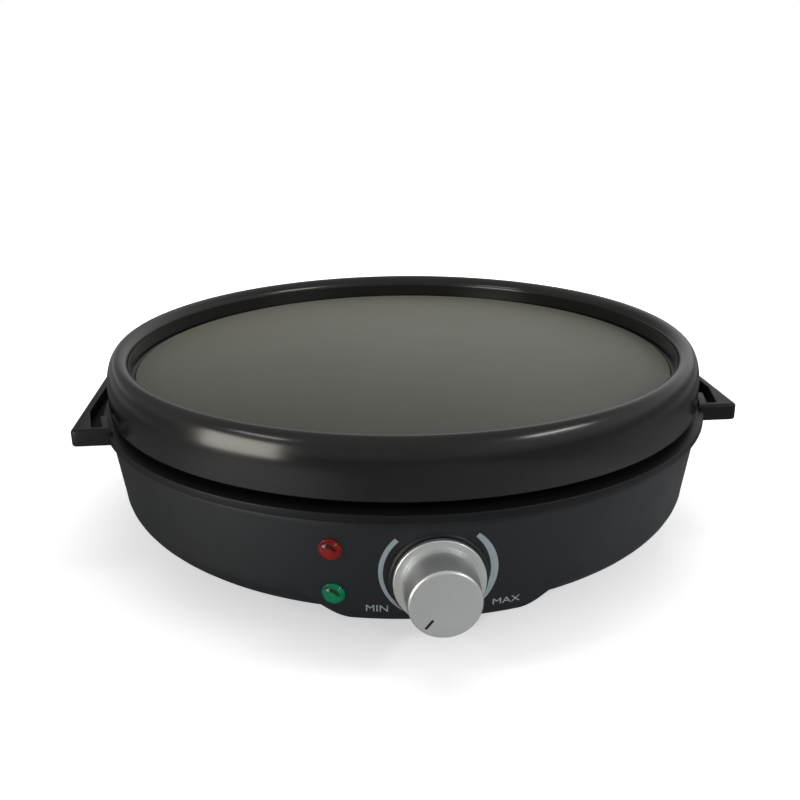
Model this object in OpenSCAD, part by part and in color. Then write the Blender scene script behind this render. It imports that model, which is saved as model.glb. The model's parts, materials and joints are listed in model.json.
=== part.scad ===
// Electric crepe maker: a round coated griddle plate on a low moulded base,
// with a heat control and two signal lamps on the front.
// Millimetres. The origin is the centre of the base on the table, +Z is up,
// and the control faces -Y. Angles round the object start at +X.

/* [Griddle plate] */
// Outer radius of the plate
plate_r = 160; // [155:1:165]
// Height of the cooking surface above the table
surface_h = 89; // [86:1:96]
// Thickness of the plate under the cooking surface
plate_t = 5; // [4:0.5:6]
// Width of the raised rim, from its outside to the flat surface
rim_w = 14.4; // [13:0.2:16]
// Height of the rim's crest above the cooking surface
rim_h = 12.5; // [9:0.5:14]
// Distance of the crest from the outside of the plate
crest_in = 6.5; // [5.5:0.5:7.5]
// Height of the rounded outer shoulder below the crest
shoulder_h = 15.5; // [12:0.5:18]
// Depth of the skirt below the cooking surface
skirt_h = 14.7; // [12:0.1:16]
// Thickness of the skirt
skirt_t = 3.6; // [3:0.2:4.2]
// Width of the juice gutter
gutter_w = 2; // [1.6:0.2:2.8]
// Depth of the juice gutter
gutter_d = 1.2; // [0.8:0.1:1.8]

/* [Base shell] */
// Height of the feet, which is also the height of the base's underside
foot_h = 7; // [5:0.5:9]
// Wall thickness of the shell
wall_t = 2.8; // [2.2:0.1:3.4]
// Thickness of the shell's floor
floor_t = 3; // [2.5:0.1:3.5]
// How far the wall leans in between its top and its bend
wall_lean = 4.8; // [3:0.1:6]
// Height at which the wall bends in towards the floor
bend_z = 30.5; // [28:0.5:33]
// How far the rounded bottom runs in from the bend
bowl_in = 46; // [42:0.5:48]
// Half width of the flat lower edge of the control panel
panel_half = 36.5; // [32:0.5:40]
// Width of the curved run from the panel's lower edge up to the bend
panel_blend = 33; // [28:0.5:38]
// Height of the control panel's lower edge
panel_z = 15.8; // [14:0.2:18]
// Width of the floor from its opening to the rounded bottom
floor_w = 34.2; // [32:0.2:38]

/* [Handle ring] */
// Gap between the plate's skirt and the handle ring
ring_gap = 3.7; // [3:0.1:5]
// Height of the ring's outer band
ring_t = 4; // [3.5:0.1:5]
// How far the ring stands out past the plate
ring_out = 3.7; // [3:0.1:4.5]
// How far the ring stands out past the shell
ring_ledge = 2.7; // [2:0.1:3.5]
// Width of the ring's flat seat
ring_w = 13.7; // [13:0.1:15]
// Height of the inner lip above the seat
lip_h = 7.5; // [5:0.5:8]
// Thickness of the inner lip
lip_t = 2; // [1.6:0.1:2.4]
// How far each handle stands out past the ring
handle_out = 7.8; // [6:0.1:12]
// Half length of each handle
handle_half = 58; // [52:1:64]
// Thickness of each handle
handle_t = 8.8; // [8:0.2:9.6]
// Drop of the handle's underside below the ring
handle_drop = 2.1; // [1:0.1:2.5]
// Width of the bar outside the handle's pocket
handle_bar = 4.3; // [3.5:0.1:5]
// Width of the bar at each end of the pocket
handle_end = 4.1; // [3:0.1:8]
// Width of the land between the ring and each end of the pocket
handle_pad = 1.4; // [1:0.1:2]
// Half length of the pocket's straight middle, as a share of the handle's half length
pocket_share = 0.52; // [0.4:0.02:0.7]
// How much the pocket narrows from its middle to each end
pocket_taper = 5.7; // [3:0.1:7]
// Turn round the ring from the handle's middle to each land
land_turn = 13.3; // [12:0.1:15]
// Radius of the handle's outer corners
handle_corner = 3; // [2:0.5:4]

/* [Heat control] */
// Height of the knob's axis on the panel, as a share of the panel's height
knob_share = 0.4567; // [0.44:0.0001:0.47]
// How far the panel boss's face lies behind the shell's top edge
boss_in = 0.8; // [0.3:0.1:1]
// Radius of the panel boss behind the knob
boss_r = 21.3; // [20.4:0.1:22]
// Thickness of the panel at the boss
boss_t = 9; // [8.6:0.1:9.6]
// Running gap behind the knob's flange
knob_gap = 0.7; // [0.4:0.1:1.5]
// Radius of the knob's flange
flange_r = 19.8; // [19:0.1:20.3]
// Thickness of the knob's flange
flange_t = 2.5; // [2:0.1:3.2]
// Length of the knob from its back to its face
knob_len = 20; // [18:0.5:23]
// Radius of the knob where it meets its flange
grip_r = 16.4; // [16:0.1:17.5]
// Radius of the knob at its face
face_r = 15.3; // [14.8:0.1:16]
// Bevel round the knob's face
face_bevel = 1.3; // [0.8:0.1:1.6]
// Wall thickness of the knob's metal shell
knob_wall = 1.2; // [0.8:0.1:1.4]
// Direction of the pointer at the lowest setting
pointer_angle = 231; // [225:1:235]
// Radius at which the pointer starts
pointer_in = 8.1; // [7:0.1:9]
// Radius at which the pointer ends
pointer_out = 13.2; // [11:0.1:13.3]
// Width of the pointer
pointer_w = 1.3; // [1:0.1:1.8]
// Radius of the spindle
spindle_r = 3; // [2.8:0.1:3.2]
// Depth of the flat on the spindle
spindle_flat = 1.4; // [1:0.1:1.6]
// Radius of the thermostat's case
thermo_r = 18; // [16:0.5:19]
// Depth of the thermostat's case
thermo_t = 12; // [10:0.5:14]
// Depth of the thermostat's neck
neck_t = 5.5; // [4.5:0.1:6.5]
// Distance of each panel screw from the knob's axis
panel_screw_x = 15; // [14.5:0.1:15.5]

/* [Signal lamps] */
// Angle of the lamps from the middle of the front
lamp_angle = 16.5; // [15.5:0.5:20]
// Height of the upper lamp, as a share of the panel's height
high_share = 0.7067; // [0.68:0.0001:0.72]
// Height of the lower lamp, as a share of the panel's height
low_share = 0.2559; // [0.24:0.0001:0.28]
// Radius of the lens
lens_r = 5.1; // [4.8:0.1:5.6]
// Height of the lens above the wall
lens_h = 3.4; // [2.6:0.1:4]
// Radius of the lens's stem
stem_r = 4.2; // [4:0.1:4.4]
// Length of the lens's stem behind the wall's outside
stem_len = 15; // [13:0.5:18]
// Radius of the neon tube
neon_r = 2.4; // [2:0.1:2.8]

/* [Heating] */
// Distance of the heating element's ring from the plate's outside
element_in = 65; // [62:1:68]
// Height of the element's flattened tube
element_h = 7; // [6:0.5:8]
// Radius of the element's tube before it is flattened
element_r = 3.8; // [3.7:0.1:4]
// Angle left open between the element's ends
element_open = 30; // [24:1:36]
// Length of the element's legs below the plate
leg_len = 24; // [20:1:26]
// Distance of the clamp screws from the element's ring
clamp_reach = 11; // [10:0.5:12]
// Thickness of the clamp bars
clamp_t = 2; // [1.5:0.1:2.5]
// Distance of the reflector's edge from the plate's outside
reflector_in = 28; // [24:1:31]
// Thickness of the reflector
reflector_t = 0.8; // [0.6:0.1:1.2]
// Height of the reflector's turned-up edge
reflector_lip = 5; // [3:0.5:6]
// Radius of the thermostat's sensing bulb
bulb_r = 3; // [2.5:0.1:3.2]
// Length of the sensing bulb
bulb_len = 50; // [40:1:56]

/* [Fixings] */
// Distance of the plate's posts from the plate's outside
post_in = 40; // [38:1:42]
// Radius of the plate's posts
post_r = 5; // [4.5:0.1:5.5]
// Height of the shell's bosses under the posts
post_boss_z = 34; // [30:1:38]
// Distance of the feet's middle from the edge of the flat floor
foot_in = 13.2; // [12.6:0.2:15]
// Radius of the feet
foot_r = 12; // [10:0.5:12.5]
// How far the bottom cover laps over the floor
cover_lap = 9.5; // [9:0.1:9.8]
// Thickness of the bottom cover
cover_t = 1.2; // [1:0.1:1.5]
// Number of vent slots in the bottom cover
vents = 24; // [16:2:28]
// Radius of the hole for the mains lead
cord_r = 3.6; // [3:0.1:4.2]
// Height of the mains lead's inlet
gland_z = 34; // [33:0.5:36]
// How far the gland stands out of the shell
gland_nose = 18; // [17:0.5:20]
// Clearance round screws and seated pieces
fit_gap = 0.1; // [0.05:0.01:0.15]
// Running clearance round the spindle and the adjusting pin
run_gap = 0.05; // [0.03:0.01:0.08]

/* [Hidden] */
$fn = 96;

// Heights
under_z = surface_h - plate_t;
skirt_z = surface_h - skirt_h;
ring_top = skirt_z - ring_gap;
ring_bot = ring_top - ring_t;
floor_z = foot_h + floor_t;
panel_h = ring_bot - panel_z;
knob_z = panel_z + knob_share * panel_h;
lamp_high = panel_z + high_share * panel_h;
lamp_low = panel_z + low_share * panel_h;
element_z = under_z - element_h;
clamp_z = element_z - clamp_t;
reflector_z = clamp_z - reflector_t;

// Radii
cook_r = plate_r - rim_w;
crest_r = plate_r - crest_in;
ring_r = plate_r + ring_out;
shell_r = ring_r - ring_ledge;
bend_r = shell_r - wall_lean;
floor_r = bend_r - bowl_in;
seat_r = ring_r - ring_w;
handle_x = ring_r + handle_out;
floor_hole_r = floor_r - floor_w;
cover_r = floor_hole_r + cover_lap;
foot_ring = floor_r - foot_in;
post_ring = plate_r - post_in;
element_ring = plate_r - element_in;
reflector_r = plate_r - reflector_in;

// Small sizes that repeat
edge = 0.8;
steps = 12;
past = 1;
m3_r = 1.5;
m4_r = 1.9;
m5_r = 2.4;
boss_wall = 2.6;

// Ring screws: their circle lies in the middle of the ring's flat seat
ring_screw_ring = seat_r + lip_t + 3.5;
ring_screw_len = 12;
ring_head_r = 2.7;
ring_head_h = 2;
ring_screw_count = 6;
ring_screw_angles = [for (i = [0:ring_screw_count - 1]) i * 360 / ring_screw_count];

// Panel, knob and thermostat depths along -Y
boss_d = shell_r - boss_in;
panel_back = boss_d - boss_t;
knob_back = boss_d + knob_gap;
knob_face = knob_back + knob_len;
front_t = 2.2;
bracket_t = 1.5;
neck_back = panel_back - bracket_t;
case_front = neck_back - neck_t;
case_back = case_front - thermo_t;
bush_r = spindle_r + 1.9;
hub_r = spindle_r + 3.5;
pin_r = 1.5;
pin_len = 6;
pin_seat = 0.3;
spindle_back = case_back + 9;
spindle_front = knob_face - front_t - 2.6;

// Lamps
wall_tilt = atan(wall_lean / (ring_bot - bend_z));

// Cord inlet
gland_boss_r = 12.5;
gland_face = wall_at(gland_z + gland_boss_r) + 0.6;
gland_back = gland_face - 8;
gland_shank_r = cord_r + 3.4;
gland_nose_r = cord_r + 2;
gland_flange_t = 3;
gland_out = gland_face + gland_nose;

// Radius of the straight wall, carried on below its bend
function wall_at(z) = bend_r + wall_lean * (z - bend_z) / (ring_bot - bend_z);

// Points on an ellipse's arc
function arc(cx, cy, rx, ry, a0, a1, n = steps) =
    [for (i = [0:n]) let (a = a0 + (a1 - a0) * i / n) [cx + rx * cos(a), cy + ry * sin(a)]];

// Children set on a circle, or copied round it
module polar(r, a) {
    rotate([0, 0, a]) translate([r, 0, 0]) children();
}

module around(r, angles) {
    for (a = angles) polar(r, a) children();
}

// Children turned so that their Z axis points out of the front of the knob
module knob_axis() {
    translate([0, 0, knob_z]) rotate([90, 0, 0]) children();
}

// Children turned so that their Z axis leaves the wall at a lamp
module lamp_axis(z) {
    rotate([0, 0, -90 - lamp_angle])
        translate([wall_at(z), 0, z])
            rotate([0, 90 + wall_tilt, 0])
                children();
}

module tube(r, bore, h) {
    difference() {
        cylinder(r = r, h = h);
        translate([0, 0, -past]) cylinder(r = bore, h = h + 2 * past);
    }
}

// A pan head screw that points up: its head is below z = 0
module screw(r, head_r, head_h, length) {
    translate([0, 0, -head_h]) cylinder(r = head_r, h = head_h);
    cylinder(r = r, h = length);
}

function unit(v) = v / norm(v);

// A round lead swept along its points
module lead(path, r, side) {
    n = len(path);
    sides = 8;
    points = [for (i = [0:n - 1])
        let (t = unit(path[min(i + 1, n - 1)] - path[max(i - 1, 0)]),
             u = unit(cross(t, side)),
             v = cross(t, u))
        for (k = [0:sides - 1])
            path[i] + r * (cos(360 * k / sides) * u + sin(360 * k / sides) * v)];
    walls = [for (i = [0:n - 2], k = [0:sides - 1])
        let (a = i * sides + k, b = i * sides + (k + 1) % sides)
        [a, a + sides, b + sides, b]];
    first = [for (k = [0:sides - 1]) k];
    last = [for (k = [sides - 1:-1:0]) (n - 1) * sides + k];
    polyhedron(points, concat(walls, [first, last]), convexity = 4);
}

// A smooth curve through chosen points
function spline(p, i, t) =
    let (n = len(p) - 1,
         a = p[max(i - 1, 0)], b = p[i], c = p[i + 1], d = p[min(i + 2, n)])
    0.5 * (2 * b + (c - a) * t + (2 * a - 5 * b + 4 * c - d) * t * t
           + (3 * b - a - 3 * c + d) * t * t * t);
function route(p, k = 4) =
    concat([for (i = [0:len(p) - 2], j = [0:k - 1]) spline(p, i, j / k)], [p[len(p) - 1]]);

post_angles = [45, 135, 225, 315];
clamp_angles = [30, 150, 270];
cover_angles = [0, 90, 180, 270];
leg_angles = [90 - element_open / 2, 90 + element_open / 2];
cover_screw_ring = (floor_hole_r + cover_r) / 2;
cover_screw_len = 9;
post_boss_r = m5_r + fit_gap + boss_wall + 3;
plate_boss_h = 6;
post_top = under_z - plate_boss_h;
post_head_z = floor_z + 4;

// Places of the small pieces under the plate
bulb_y = -0.32 * element_ring;
bulb_clip_x = 16;
bulb_screw_y = bulb_r + 5;
bulb_z = under_z - bulb_r - fit_gap;
bulb_clip_t = 1.5;
bulb_clip_z = bulb_z - bulb_r - fit_gap - bulb_clip_t;
earth_y = 0.7 * element_ring;
earth_boss_z = under_z - 6;
tag_t = 0.8;
fuse_x = -0.53 * element_ring;
fuse_r = 2.5;
fuse_len = 16;
fuse_z = reflector_z - fuse_r - fit_gap;
bead_r = 4.6;
bead_h = 4;
leg_end = under_z - leg_len;
tab_w = 6.3;
tab_t = 0.8;
tab_len = 10;
tab_end = leg_end - bead_h - tab_len;
tab_x = 8;

// Terminal block on its two bosses, just inside the inlet
block_y = floor_r + 2;
block_z = floor_z + 4;
block_size = [34, 16, 12];
block_screw_x = 5;
block_way = 10;
way_z = block_z + block_size[2] / 2;
way_y = block_y - block_size[1] / 2;

// ---------------------------------------------------------------- plate

rim_profile = concat(
    [[0, surface_h], [cook_r - edge, surface_h], [cook_r, surface_h - edge / 2],
     [cook_r + edge / 2, surface_h - gutter_d],
     [cook_r + gutter_w - edge / 2, surface_h - gutter_d],
     [cook_r + gutter_w, surface_h - gutter_d + edge]],
    arc(crest_r, surface_h + rim_h / 2, crest_r - cook_r - gutter_w, rim_h / 2, 180, 90),
    arc(crest_r, surface_h + rim_h - shoulder_h, crest_in, shoulder_h, 85, 0),
    [[plate_r, skirt_z + edge], [plate_r - edge, skirt_z],
     [plate_r - skirt_t, skirt_z], [plate_r - skirt_t, under_z - skirt_t],
     [plate_r - 2 * skirt_t, under_z], [0, under_z]]);

module plate_bosses() {
    around(post_ring, post_angles)
        translate([0, 0, post_top]) cylinder(r = post_boss_r - 1, h = plate_boss_h + past);
    for (side = [-1, 1])
        around(element_ring + side * clamp_reach, clamp_angles)
            translate([0, 0, element_z]) cylinder(r = m4_r + boss_wall, h = element_h + past);
    for (x = [-bulb_clip_x, bulb_clip_x], side = [-1, 1])
        translate([x, bulb_y + side * bulb_screw_y, bulb_clip_z + bulb_clip_t])
            cylinder(r = m3_r + 2, h = under_z - bulb_clip_z);
    translate([0, earth_y, earth_boss_z]) cylinder(r = m4_r + boss_wall, h = under_z - earth_boss_z + past);
}

module plate_bores() {
    around(post_ring, post_angles)
        translate([0, 0, post_top - past]) cylinder(r = m5_r + fit_gap, h = plate_boss_h + 2 * past);
    for (side = [-1, 1])
        around(element_ring + side * clamp_reach, clamp_angles)
            translate([0, 0, element_z - past]) cylinder(r = m4_r + fit_gap, h = element_h + 2 * past);
    for (x = [-bulb_clip_x, bulb_clip_x], side = [-1, 1])
        translate([x, bulb_y + side * bulb_screw_y, bulb_clip_z])
            cylinder(r = m3_r + fit_gap, h = under_z - bulb_clip_z + past);
    translate([0, earth_y, earth_boss_z - past])
        cylinder(r = m4_r + fit_gap, h = under_z - earth_boss_z + 2 * past);
}

module griddle_plate() {
    color([0.13, 0.13, 0.14])
        difference() {
            union() {
                rotate_extrude() polygon(rim_profile);
                intersection() {
                    plate_bosses();
                    cylinder(r = cook_r, h = surface_h - 2 * past);
                }
            }
            plate_bores();
        }
}

// -------------------------------------------------------------- heating

tube_flat = acos(element_h / 2 / element_r);
tube_section = concat(
    arc(element_ring, under_z - element_h / 2, element_r, element_r, 90 + tube_flat, 270 - tube_flat, 8),
    arc(element_ring, under_z - element_h / 2, element_r, element_r, 270 + tube_flat, 450 - tube_flat, 8));

module heating_element() {
    color([0.35, 0.34, 0.33]) {
        rotate([0, 0, leg_angles[1]])
            rotate_extrude(angle = 360 - element_open) polygon(tube_section);
        around(element_ring, leg_angles)
            translate([0, 0, leg_end]) cylinder(r = element_h / 2, h = leg_len - element_h / 2);
    }
}

module element_beads() {
    color([0.92, 0.90, 0.85])
        around(element_ring, leg_angles)
            translate([0, 0, leg_end - bead_h]) cylinder(r = bead_r, h = bead_h);
}

module element_tabs() {
    color([0.75, 0.75, 0.73])
        around(element_ring, leg_angles)
            translate([-tab_t / 2, -tab_w / 2, tab_end]) cube([tab_t, tab_w, tab_len]);
}

module element_clamps() {
    clamp_len = 2 * clamp_reach + 9;
    clamp_w = 10;
    color([0.66, 0.66, 0.64])
        around(element_ring, clamp_angles)
            difference() {
                translate([-clamp_len / 2, -clamp_w / 2, clamp_z]) cube([clamp_len, clamp_w, clamp_t]);
                for (x = [-clamp_reach, clamp_reach])
                    translate([x, 0, clamp_z - past]) cylinder(r = m4_r + fit_gap, h = clamp_t + 2 * past);
            }
}

module clamp_screws() {
    color([0.72, 0.72, 0.70])
        for (side = [-1, 1])
            around(element_ring + side * clamp_reach, clamp_angles)
                translate([0, 0, reflector_z])
                    screw(m4_r, m4_r + 1.7, 2.6, reflector_t + clamp_t + element_h - past);
}

module heat_reflector() {
    window = [bulb_len + 24, 34];
    color([0.78, 0.78, 0.77])
        difference() {
            translate([0, 0, reflector_z]) cylinder(r = reflector_r, h = reflector_t + reflector_lip);
            translate([0, 0, reflector_z + reflector_t])
                cylinder(r = reflector_r - reflector_t, h = reflector_lip + past);
            around(post_ring, post_angles)
                translate([0, 0, reflector_z - past]) cylinder(r = post_r + 0.5, h = reflector_lip);
            for (side = [-1, 1])
                around(element_ring + side * clamp_reach, clamp_angles)
                    translate([0, 0, reflector_z - past]) cylinder(r = m4_r + fit_gap, h = reflector_lip);
            around(element_ring, leg_angles)
                translate([0, 0, reflector_z - past]) cylinder(r = element_h / 2 + 1.5, h = reflector_lip);
            translate([-window[0] / 2 - 4, bulb_y - window[1] / 2, reflector_z - past])
                cube([window[0], window[1], reflector_lip]);
            translate([0, earth_y + 4, reflector_z - past]) cylinder(r = 10, h = reflector_lip);
        }
}

module sensing_bulb() {
    color([0.80, 0.48, 0.30])
        translate([-bulb_len / 2, bulb_y, bulb_z]) rotate([0, 90, 0]) cylinder(r = bulb_r, h = bulb_len);
}

module capillary() {
    case_y = -(case_back + case_front) / 2;
    low_z = reflector_z - 0.6 * thermo_t;
    points = [[-bulb_len / 2 - 0.1, bulb_y, bulb_z], [-0.62 * bulb_len, bulb_y - 1, bulb_z - 2],
              [-0.66 * bulb_len, bulb_y - 2 * bulb_r, reflector_z - 4],
              [-0.23 * element_ring, -0.72 * element_ring, low_z],
              [-6, case_y + 2.5 * thermo_t, low_z], [0, case_y + thermo_t / 4, knob_z + 1.4 * thermo_r],
              [0, case_y, knob_z + 1.2 * thermo_r], [0, case_y, knob_z + thermo_r + 0.1]];
    color([0.80, 0.48, 0.30]) lead(route(points), 1, [1, 0.2, 0]);
}

module bulb_clips() {
    clip_w = 9;
    clip_len = 2 * bulb_screw_y + 5 * m3_r + 0.5;
    color([0.66, 0.66, 0.64])
        for (x = [-bulb_clip_x, bulb_clip_x])
            translate([x, bulb_y, bulb_clip_z])
                difference() {
                    translate([-clip_w / 2, -clip_len / 2, 0]) cube([clip_w, clip_len, bulb_clip_t]);
                    for (side = [-1, 1])
                        translate([0, side * bulb_screw_y, -past])
                            cylinder(r = m3_r + fit_gap, h = bulb_clip_t + 2 * past);
                }
}

module bulb_screws() {
    color([0.72, 0.72, 0.70])
        for (x = [-bulb_clip_x, bulb_clip_x], side = [-1, 1])
            translate([x, bulb_y + side * bulb_screw_y, bulb_clip_z])
                screw(m3_r, m3_r + 1.2, 1.2, under_z - bulb_clip_z - 0.5);
}

module earth_tag() {
    color([0.78, 0.74, 0.55])
        difference() {
            translate([0, earth_y, earth_boss_z - tag_t]) {
                cylinder(r = m4_r + boss_wall, h = tag_t);
                translate([-2, 0, 0]) cube([4, 11, tag_t]);
            }
            translate([0, earth_y, earth_boss_z - tag_t - past])
                cylinder(r = m4_r + fit_gap, h = tag_t + 2 * past);
        }
}

module earth_screw() {
    color([0.78, 0.70, 0.45])
        translate([0, earth_y, earth_boss_z - tag_t])
            screw(m4_r, m4_r + 1.7, 2.4, tag_t + under_z - earth_boss_z - 0.5);
}

module thermal_fuse() {
    color([0.88, 0.88, 0.84])
        translate([fuse_x, fuse_len / 2, fuse_z]) rotate([90, 0, 0]) cylinder(r = fuse_r, h = fuse_len);
}

module fuse_clip() {
    clip_w = 6;
    clip_t = 1;
    inside = fuse_r + fit_gap;
    drop = 2 * inside;
    color([0.66, 0.66, 0.64])
        translate([fuse_x, -clip_w / 2, reflector_z - drop - clip_t]) {
            translate([-inside - clip_t, 0, 0]) cube([2 * inside + 2 * clip_t, clip_w, clip_t]);
            for (side = [0, 1])
                mirror([side, 0, 0]) {
                    translate([inside, 0, 0]) cube([clip_t, clip_w, drop + clip_t]);
                    translate([inside, 0, drop]) cube([5, clip_w, clip_t]);
                }
        }
}

// ----------------------------------------------------------------- base

module solid_base() {
    rotate_extrude()
        polygon(concat([[0, foot_h]],
                       arc(floor_r, bend_z, bowl_in, bend_z - foot_h, -90, 0),
                       [[shell_r, ring_bot], [0, ring_bot]]));
}

// The straight wall carried down in front of the rounded bottom.
// inset is 0 for the outside and the wall's thickness for the inside.
module panel_drop(inset) {
    low = panel_z + inset;
    half = panel_half - inset;
    top = bend_z + 2;
    edge_left = [for (i = [0:steps])
        [-half - panel_blend * (1 - i / steps), bend_z - (bend_z - low) * (1 - cos(180 * i / steps)) / 2]];
    edge_right = [for (i = [steps:-1:0]) [-edge_left[i][0], edge_left[i][1]]];
    intersection() {
        rotate_extrude()
            polygon([[0, 0], [wall_at(0) - inset, 0], [wall_at(top) - inset, top], [0, top]]);
        rotate([90, 0, 0])
            translate([0, 0, floor_r])
                linear_extrude(height = shell_r)
                    polygon(concat(edge_left, edge_right,
                                   [[half + panel_blend, top], [-half - panel_blend, top]]));
    }
}

module base_cavity() {
    rotate_extrude()
        polygon(concat([[0, floor_z]],
                       arc(floor_r, bend_z, bowl_in - wall_t, bend_z - floor_z, -90, 0),
                       [[shell_r - wall_t, ring_bot], [shell_r - wall_t, ring_bot + past],
                        [0, ring_bot + past]]));
    panel_drop(wall_t);
}

module inner_bosses() {
    around(post_ring, post_angles) cylinder(r = post_boss_r, h = post_boss_z);
    around(ring_screw_ring, ring_screw_angles)
        translate([0, 0, ring_bot - ring_screw_len - 2])
            cylinder(r = m3_r + boss_wall, h = ring_screw_len + 2);
    around(cover_screw_ring, cover_angles)
        translate([0, 0, foot_h]) cylinder(r = m3_r + boss_wall, h = cover_screw_len + 3);
    for (x = [-block_screw_x, block_screw_x])
        translate([x, block_y, foot_h]) cylinder(r = m3_r + boss_wall, h = block_z - foot_h);
}

module base_holes() {
    translate([0, 0, foot_h - past]) cylinder(r = floor_hole_r, h = floor_t + 2 * past);
    around(post_ring, post_angles) {
        cylinder(r = m5_r + 2.6, h = post_head_z);
        cylinder(r = m5_r + fit_gap, h = post_boss_z + past);
    }
    around(ring_screw_ring, ring_screw_angles)
        translate([0, 0, ring_bot - ring_screw_len]) cylinder(r = m3_r + fit_gap, h = ring_screw_len + past);
    around(cover_screw_ring, cover_angles)
        translate([0, 0, foot_h - past]) cylinder(r = m3_r + fit_gap, h = cover_screw_len + 2 * past);
    around(foot_ring, post_angles)
        translate([0, 0, foot_h - past]) cylinder(r = foot_r / 3 + fit_gap, h = floor_t + 2 * past);
    for (x = [-block_screw_x, block_screw_x])
        translate([x, block_y, floor_z]) cylinder(r = m3_r + fit_gap, h = block_z - floor_z + past);
    for (z = [lamp_low, lamp_high])
        lamp_axis(z) translate([0, 0, -stem_len]) cylinder(r = stem_r + fit_gap, h = stem_len + 2 * past);
    knob_axis() {
        translate([0, 0, panel_back - past]) cylinder(r = bush_r + 2 * fit_gap, h = boss_t + 2 * past);
        for (x = [-panel_screw_x, panel_screw_x]) {
            translate([x, 0, panel_back - past]) cylinder(r = m4_r + fit_gap, h = boss_t + 2 * past);
            translate([x, 0, boss_d - 2.4]) cylinder(r = m4_r + 1.8, h = 2.4 + past);
        }
    }
    translate([0, gland_back - past, gland_z]) rotate([-90, 0, 0])
        cylinder(r = gland_shank_r + fit_gap, h = gland_face - gland_back + 2 * past);
}

module base_shell() {
    color([0.15, 0.16, 0.17])
        difference() {
            union() {
                difference() {
                    union() {
                        solid_base();
                        panel_drop(0);
                    }
                    base_cavity();
                }
                intersection() {
                    inner_bosses();
                    solid_base();
                }
                knob_axis() translate([0, 0, panel_back]) cylinder(r = boss_r, h = boss_t);
                translate([0, gland_back, gland_z]) rotate([-90, 0, 0])
                    cylinder(r = gland_boss_r, h = gland_face - gland_back);
            }
            base_holes();
        }
}

module handle_outline() {
    low_y = handle_half - handle_corner;
    far_x = handle_x - handle_corner;
    difference() {
        union() {
            translate([seat_r / 2, -handle_half]) square([far_x - seat_r / 2, 2 * handle_half]);
            translate([seat_r / 2, -low_y]) square([handle_x - seat_r / 2, 2 * low_y]);
            for (y = [-low_y, low_y]) translate([far_x, y]) circle(r = handle_corner);
        }
        circle(r = shell_r + 0.3);
    }
}

// The pocket in the top of a handle, open towards the ring between its two lands
module handle_pocket() {
    bar_x = handle_x - handle_bar;
    end_x = bar_x - pocket_taper;
    end_y = handle_half - handle_end;
    mid_y = pocket_share * handle_half;
    land_r = ring_r + handle_pad;
    wedge = 2 * land_r * [cos(land_turn), sin(land_turn)];
    difference() {
        polygon([[seat_r / 2, -end_y], [end_x, -end_y], [bar_x, -mid_y],
                 [bar_x, mid_y], [end_x, end_y], [seat_r / 2, end_y]]);
        difference() {
            circle(r = land_r);
            polygon([[0, 0], [wedge[0], -wedge[1]], wedge]);
        }
    }
}

module handle_ring() {
    lip_r = seat_r + lip_t;
    color([0.09, 0.09, 0.095])
        difference() {
            union() {
                rotate_extrude()
                    polygon([[seat_r, ring_bot], [ring_r, ring_bot], [ring_r, ring_top],
                             [lip_r, ring_top], [lip_r, ring_top + lip_h],
                             [seat_r, ring_top + lip_h]]);
                for (side = [0, 180])
                    rotate([0, 0, side])
                        difference() {
                            translate([0, 0, ring_bot - handle_drop])
                                linear_extrude(height = handle_t) handle_outline();
                            translate([0, 0, ring_bot])
                                linear_extrude(height = handle_t) handle_pocket();
                        }
            }
            around(ring_screw_ring, ring_screw_angles)
                translate([0, 0, ring_bot - past]) {
                    cylinder(r = m3_r + fit_gap, h = ring_t + 2 * past);
                    translate([0, 0, past + ring_t - ring_head_h])
                        cylinder(r = ring_head_r + fit_gap, h = ring_head_h + past);
                }
        }
}

module ring_screws() {
    color([0.72, 0.72, 0.70])
        around(ring_screw_ring, ring_screw_angles)
            translate([0, 0, ring_top - ring_head_h])
                mirror([0, 0, 1])
                    screw(m3_r, ring_head_r, ring_head_h, ring_t - ring_head_h + ring_screw_len - 1);
}

module bottom_cover() {
    slot = [22, 3];
    color([0.55, 0.55, 0.56])
        difference() {
            translate([0, 0, foot_h - cover_t]) cylinder(r = cover_r, h = cover_t);
            around(cover_screw_ring, cover_angles)
                translate([0, 0, foot_h - cover_t - past])
                    cylinder(r = m3_r + fit_gap, h = cover_t + 2 * past);
            for (i = [0:vents - 1])
                polar(cover_r / 2, (i + 0.5) * 360 / vents)
                    translate([-slot[0] / 2, -slot[1] / 2, foot_h - cover_t - past])
                        cube([slot[0], slot[1], cover_t + 2 * past]);
        }
}

module cover_screws() {
    color([0.72, 0.72, 0.70])
        around(cover_screw_ring, cover_angles)
            translate([0, 0, foot_h - cover_t]) screw(m3_r, m3_r + 1.3, 1.8, cover_t + cover_screw_len);
}

module plate_posts() {
    color([0.70, 0.70, 0.68])
        around(post_ring, post_angles)
            translate([0, 0, post_boss_z]) tube(post_r, m5_r + 2 * fit_gap, post_top - post_boss_z);
}

module post_screws() {
    color([0.72, 0.72, 0.70])
        around(post_ring, post_angles)
            translate([0, 0, post_head_z]) screw(m5_r, m5_r + 2.2, 3.4, under_z - post_head_z - past);
}

// A round rubber foot with a button plug through the floor
module foot() {
    bevel = 1;
    stem = foot_r / 3;
    color([0.10, 0.10, 0.10])
        polar(foot_ring, 0)
            rotate_extrude()
                polygon([[0, 0], [foot_r - bevel, 0], [foot_r, bevel], [foot_r, foot_h],
                         [stem, foot_h], [stem, floor_z + fit_gap],
                         [stem + 1, floor_z + fit_gap], [stem + 1, floor_z + 1],
                         [stem - 1, floor_z + 2.5], [0, floor_z + 2.5]]);
}

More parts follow.
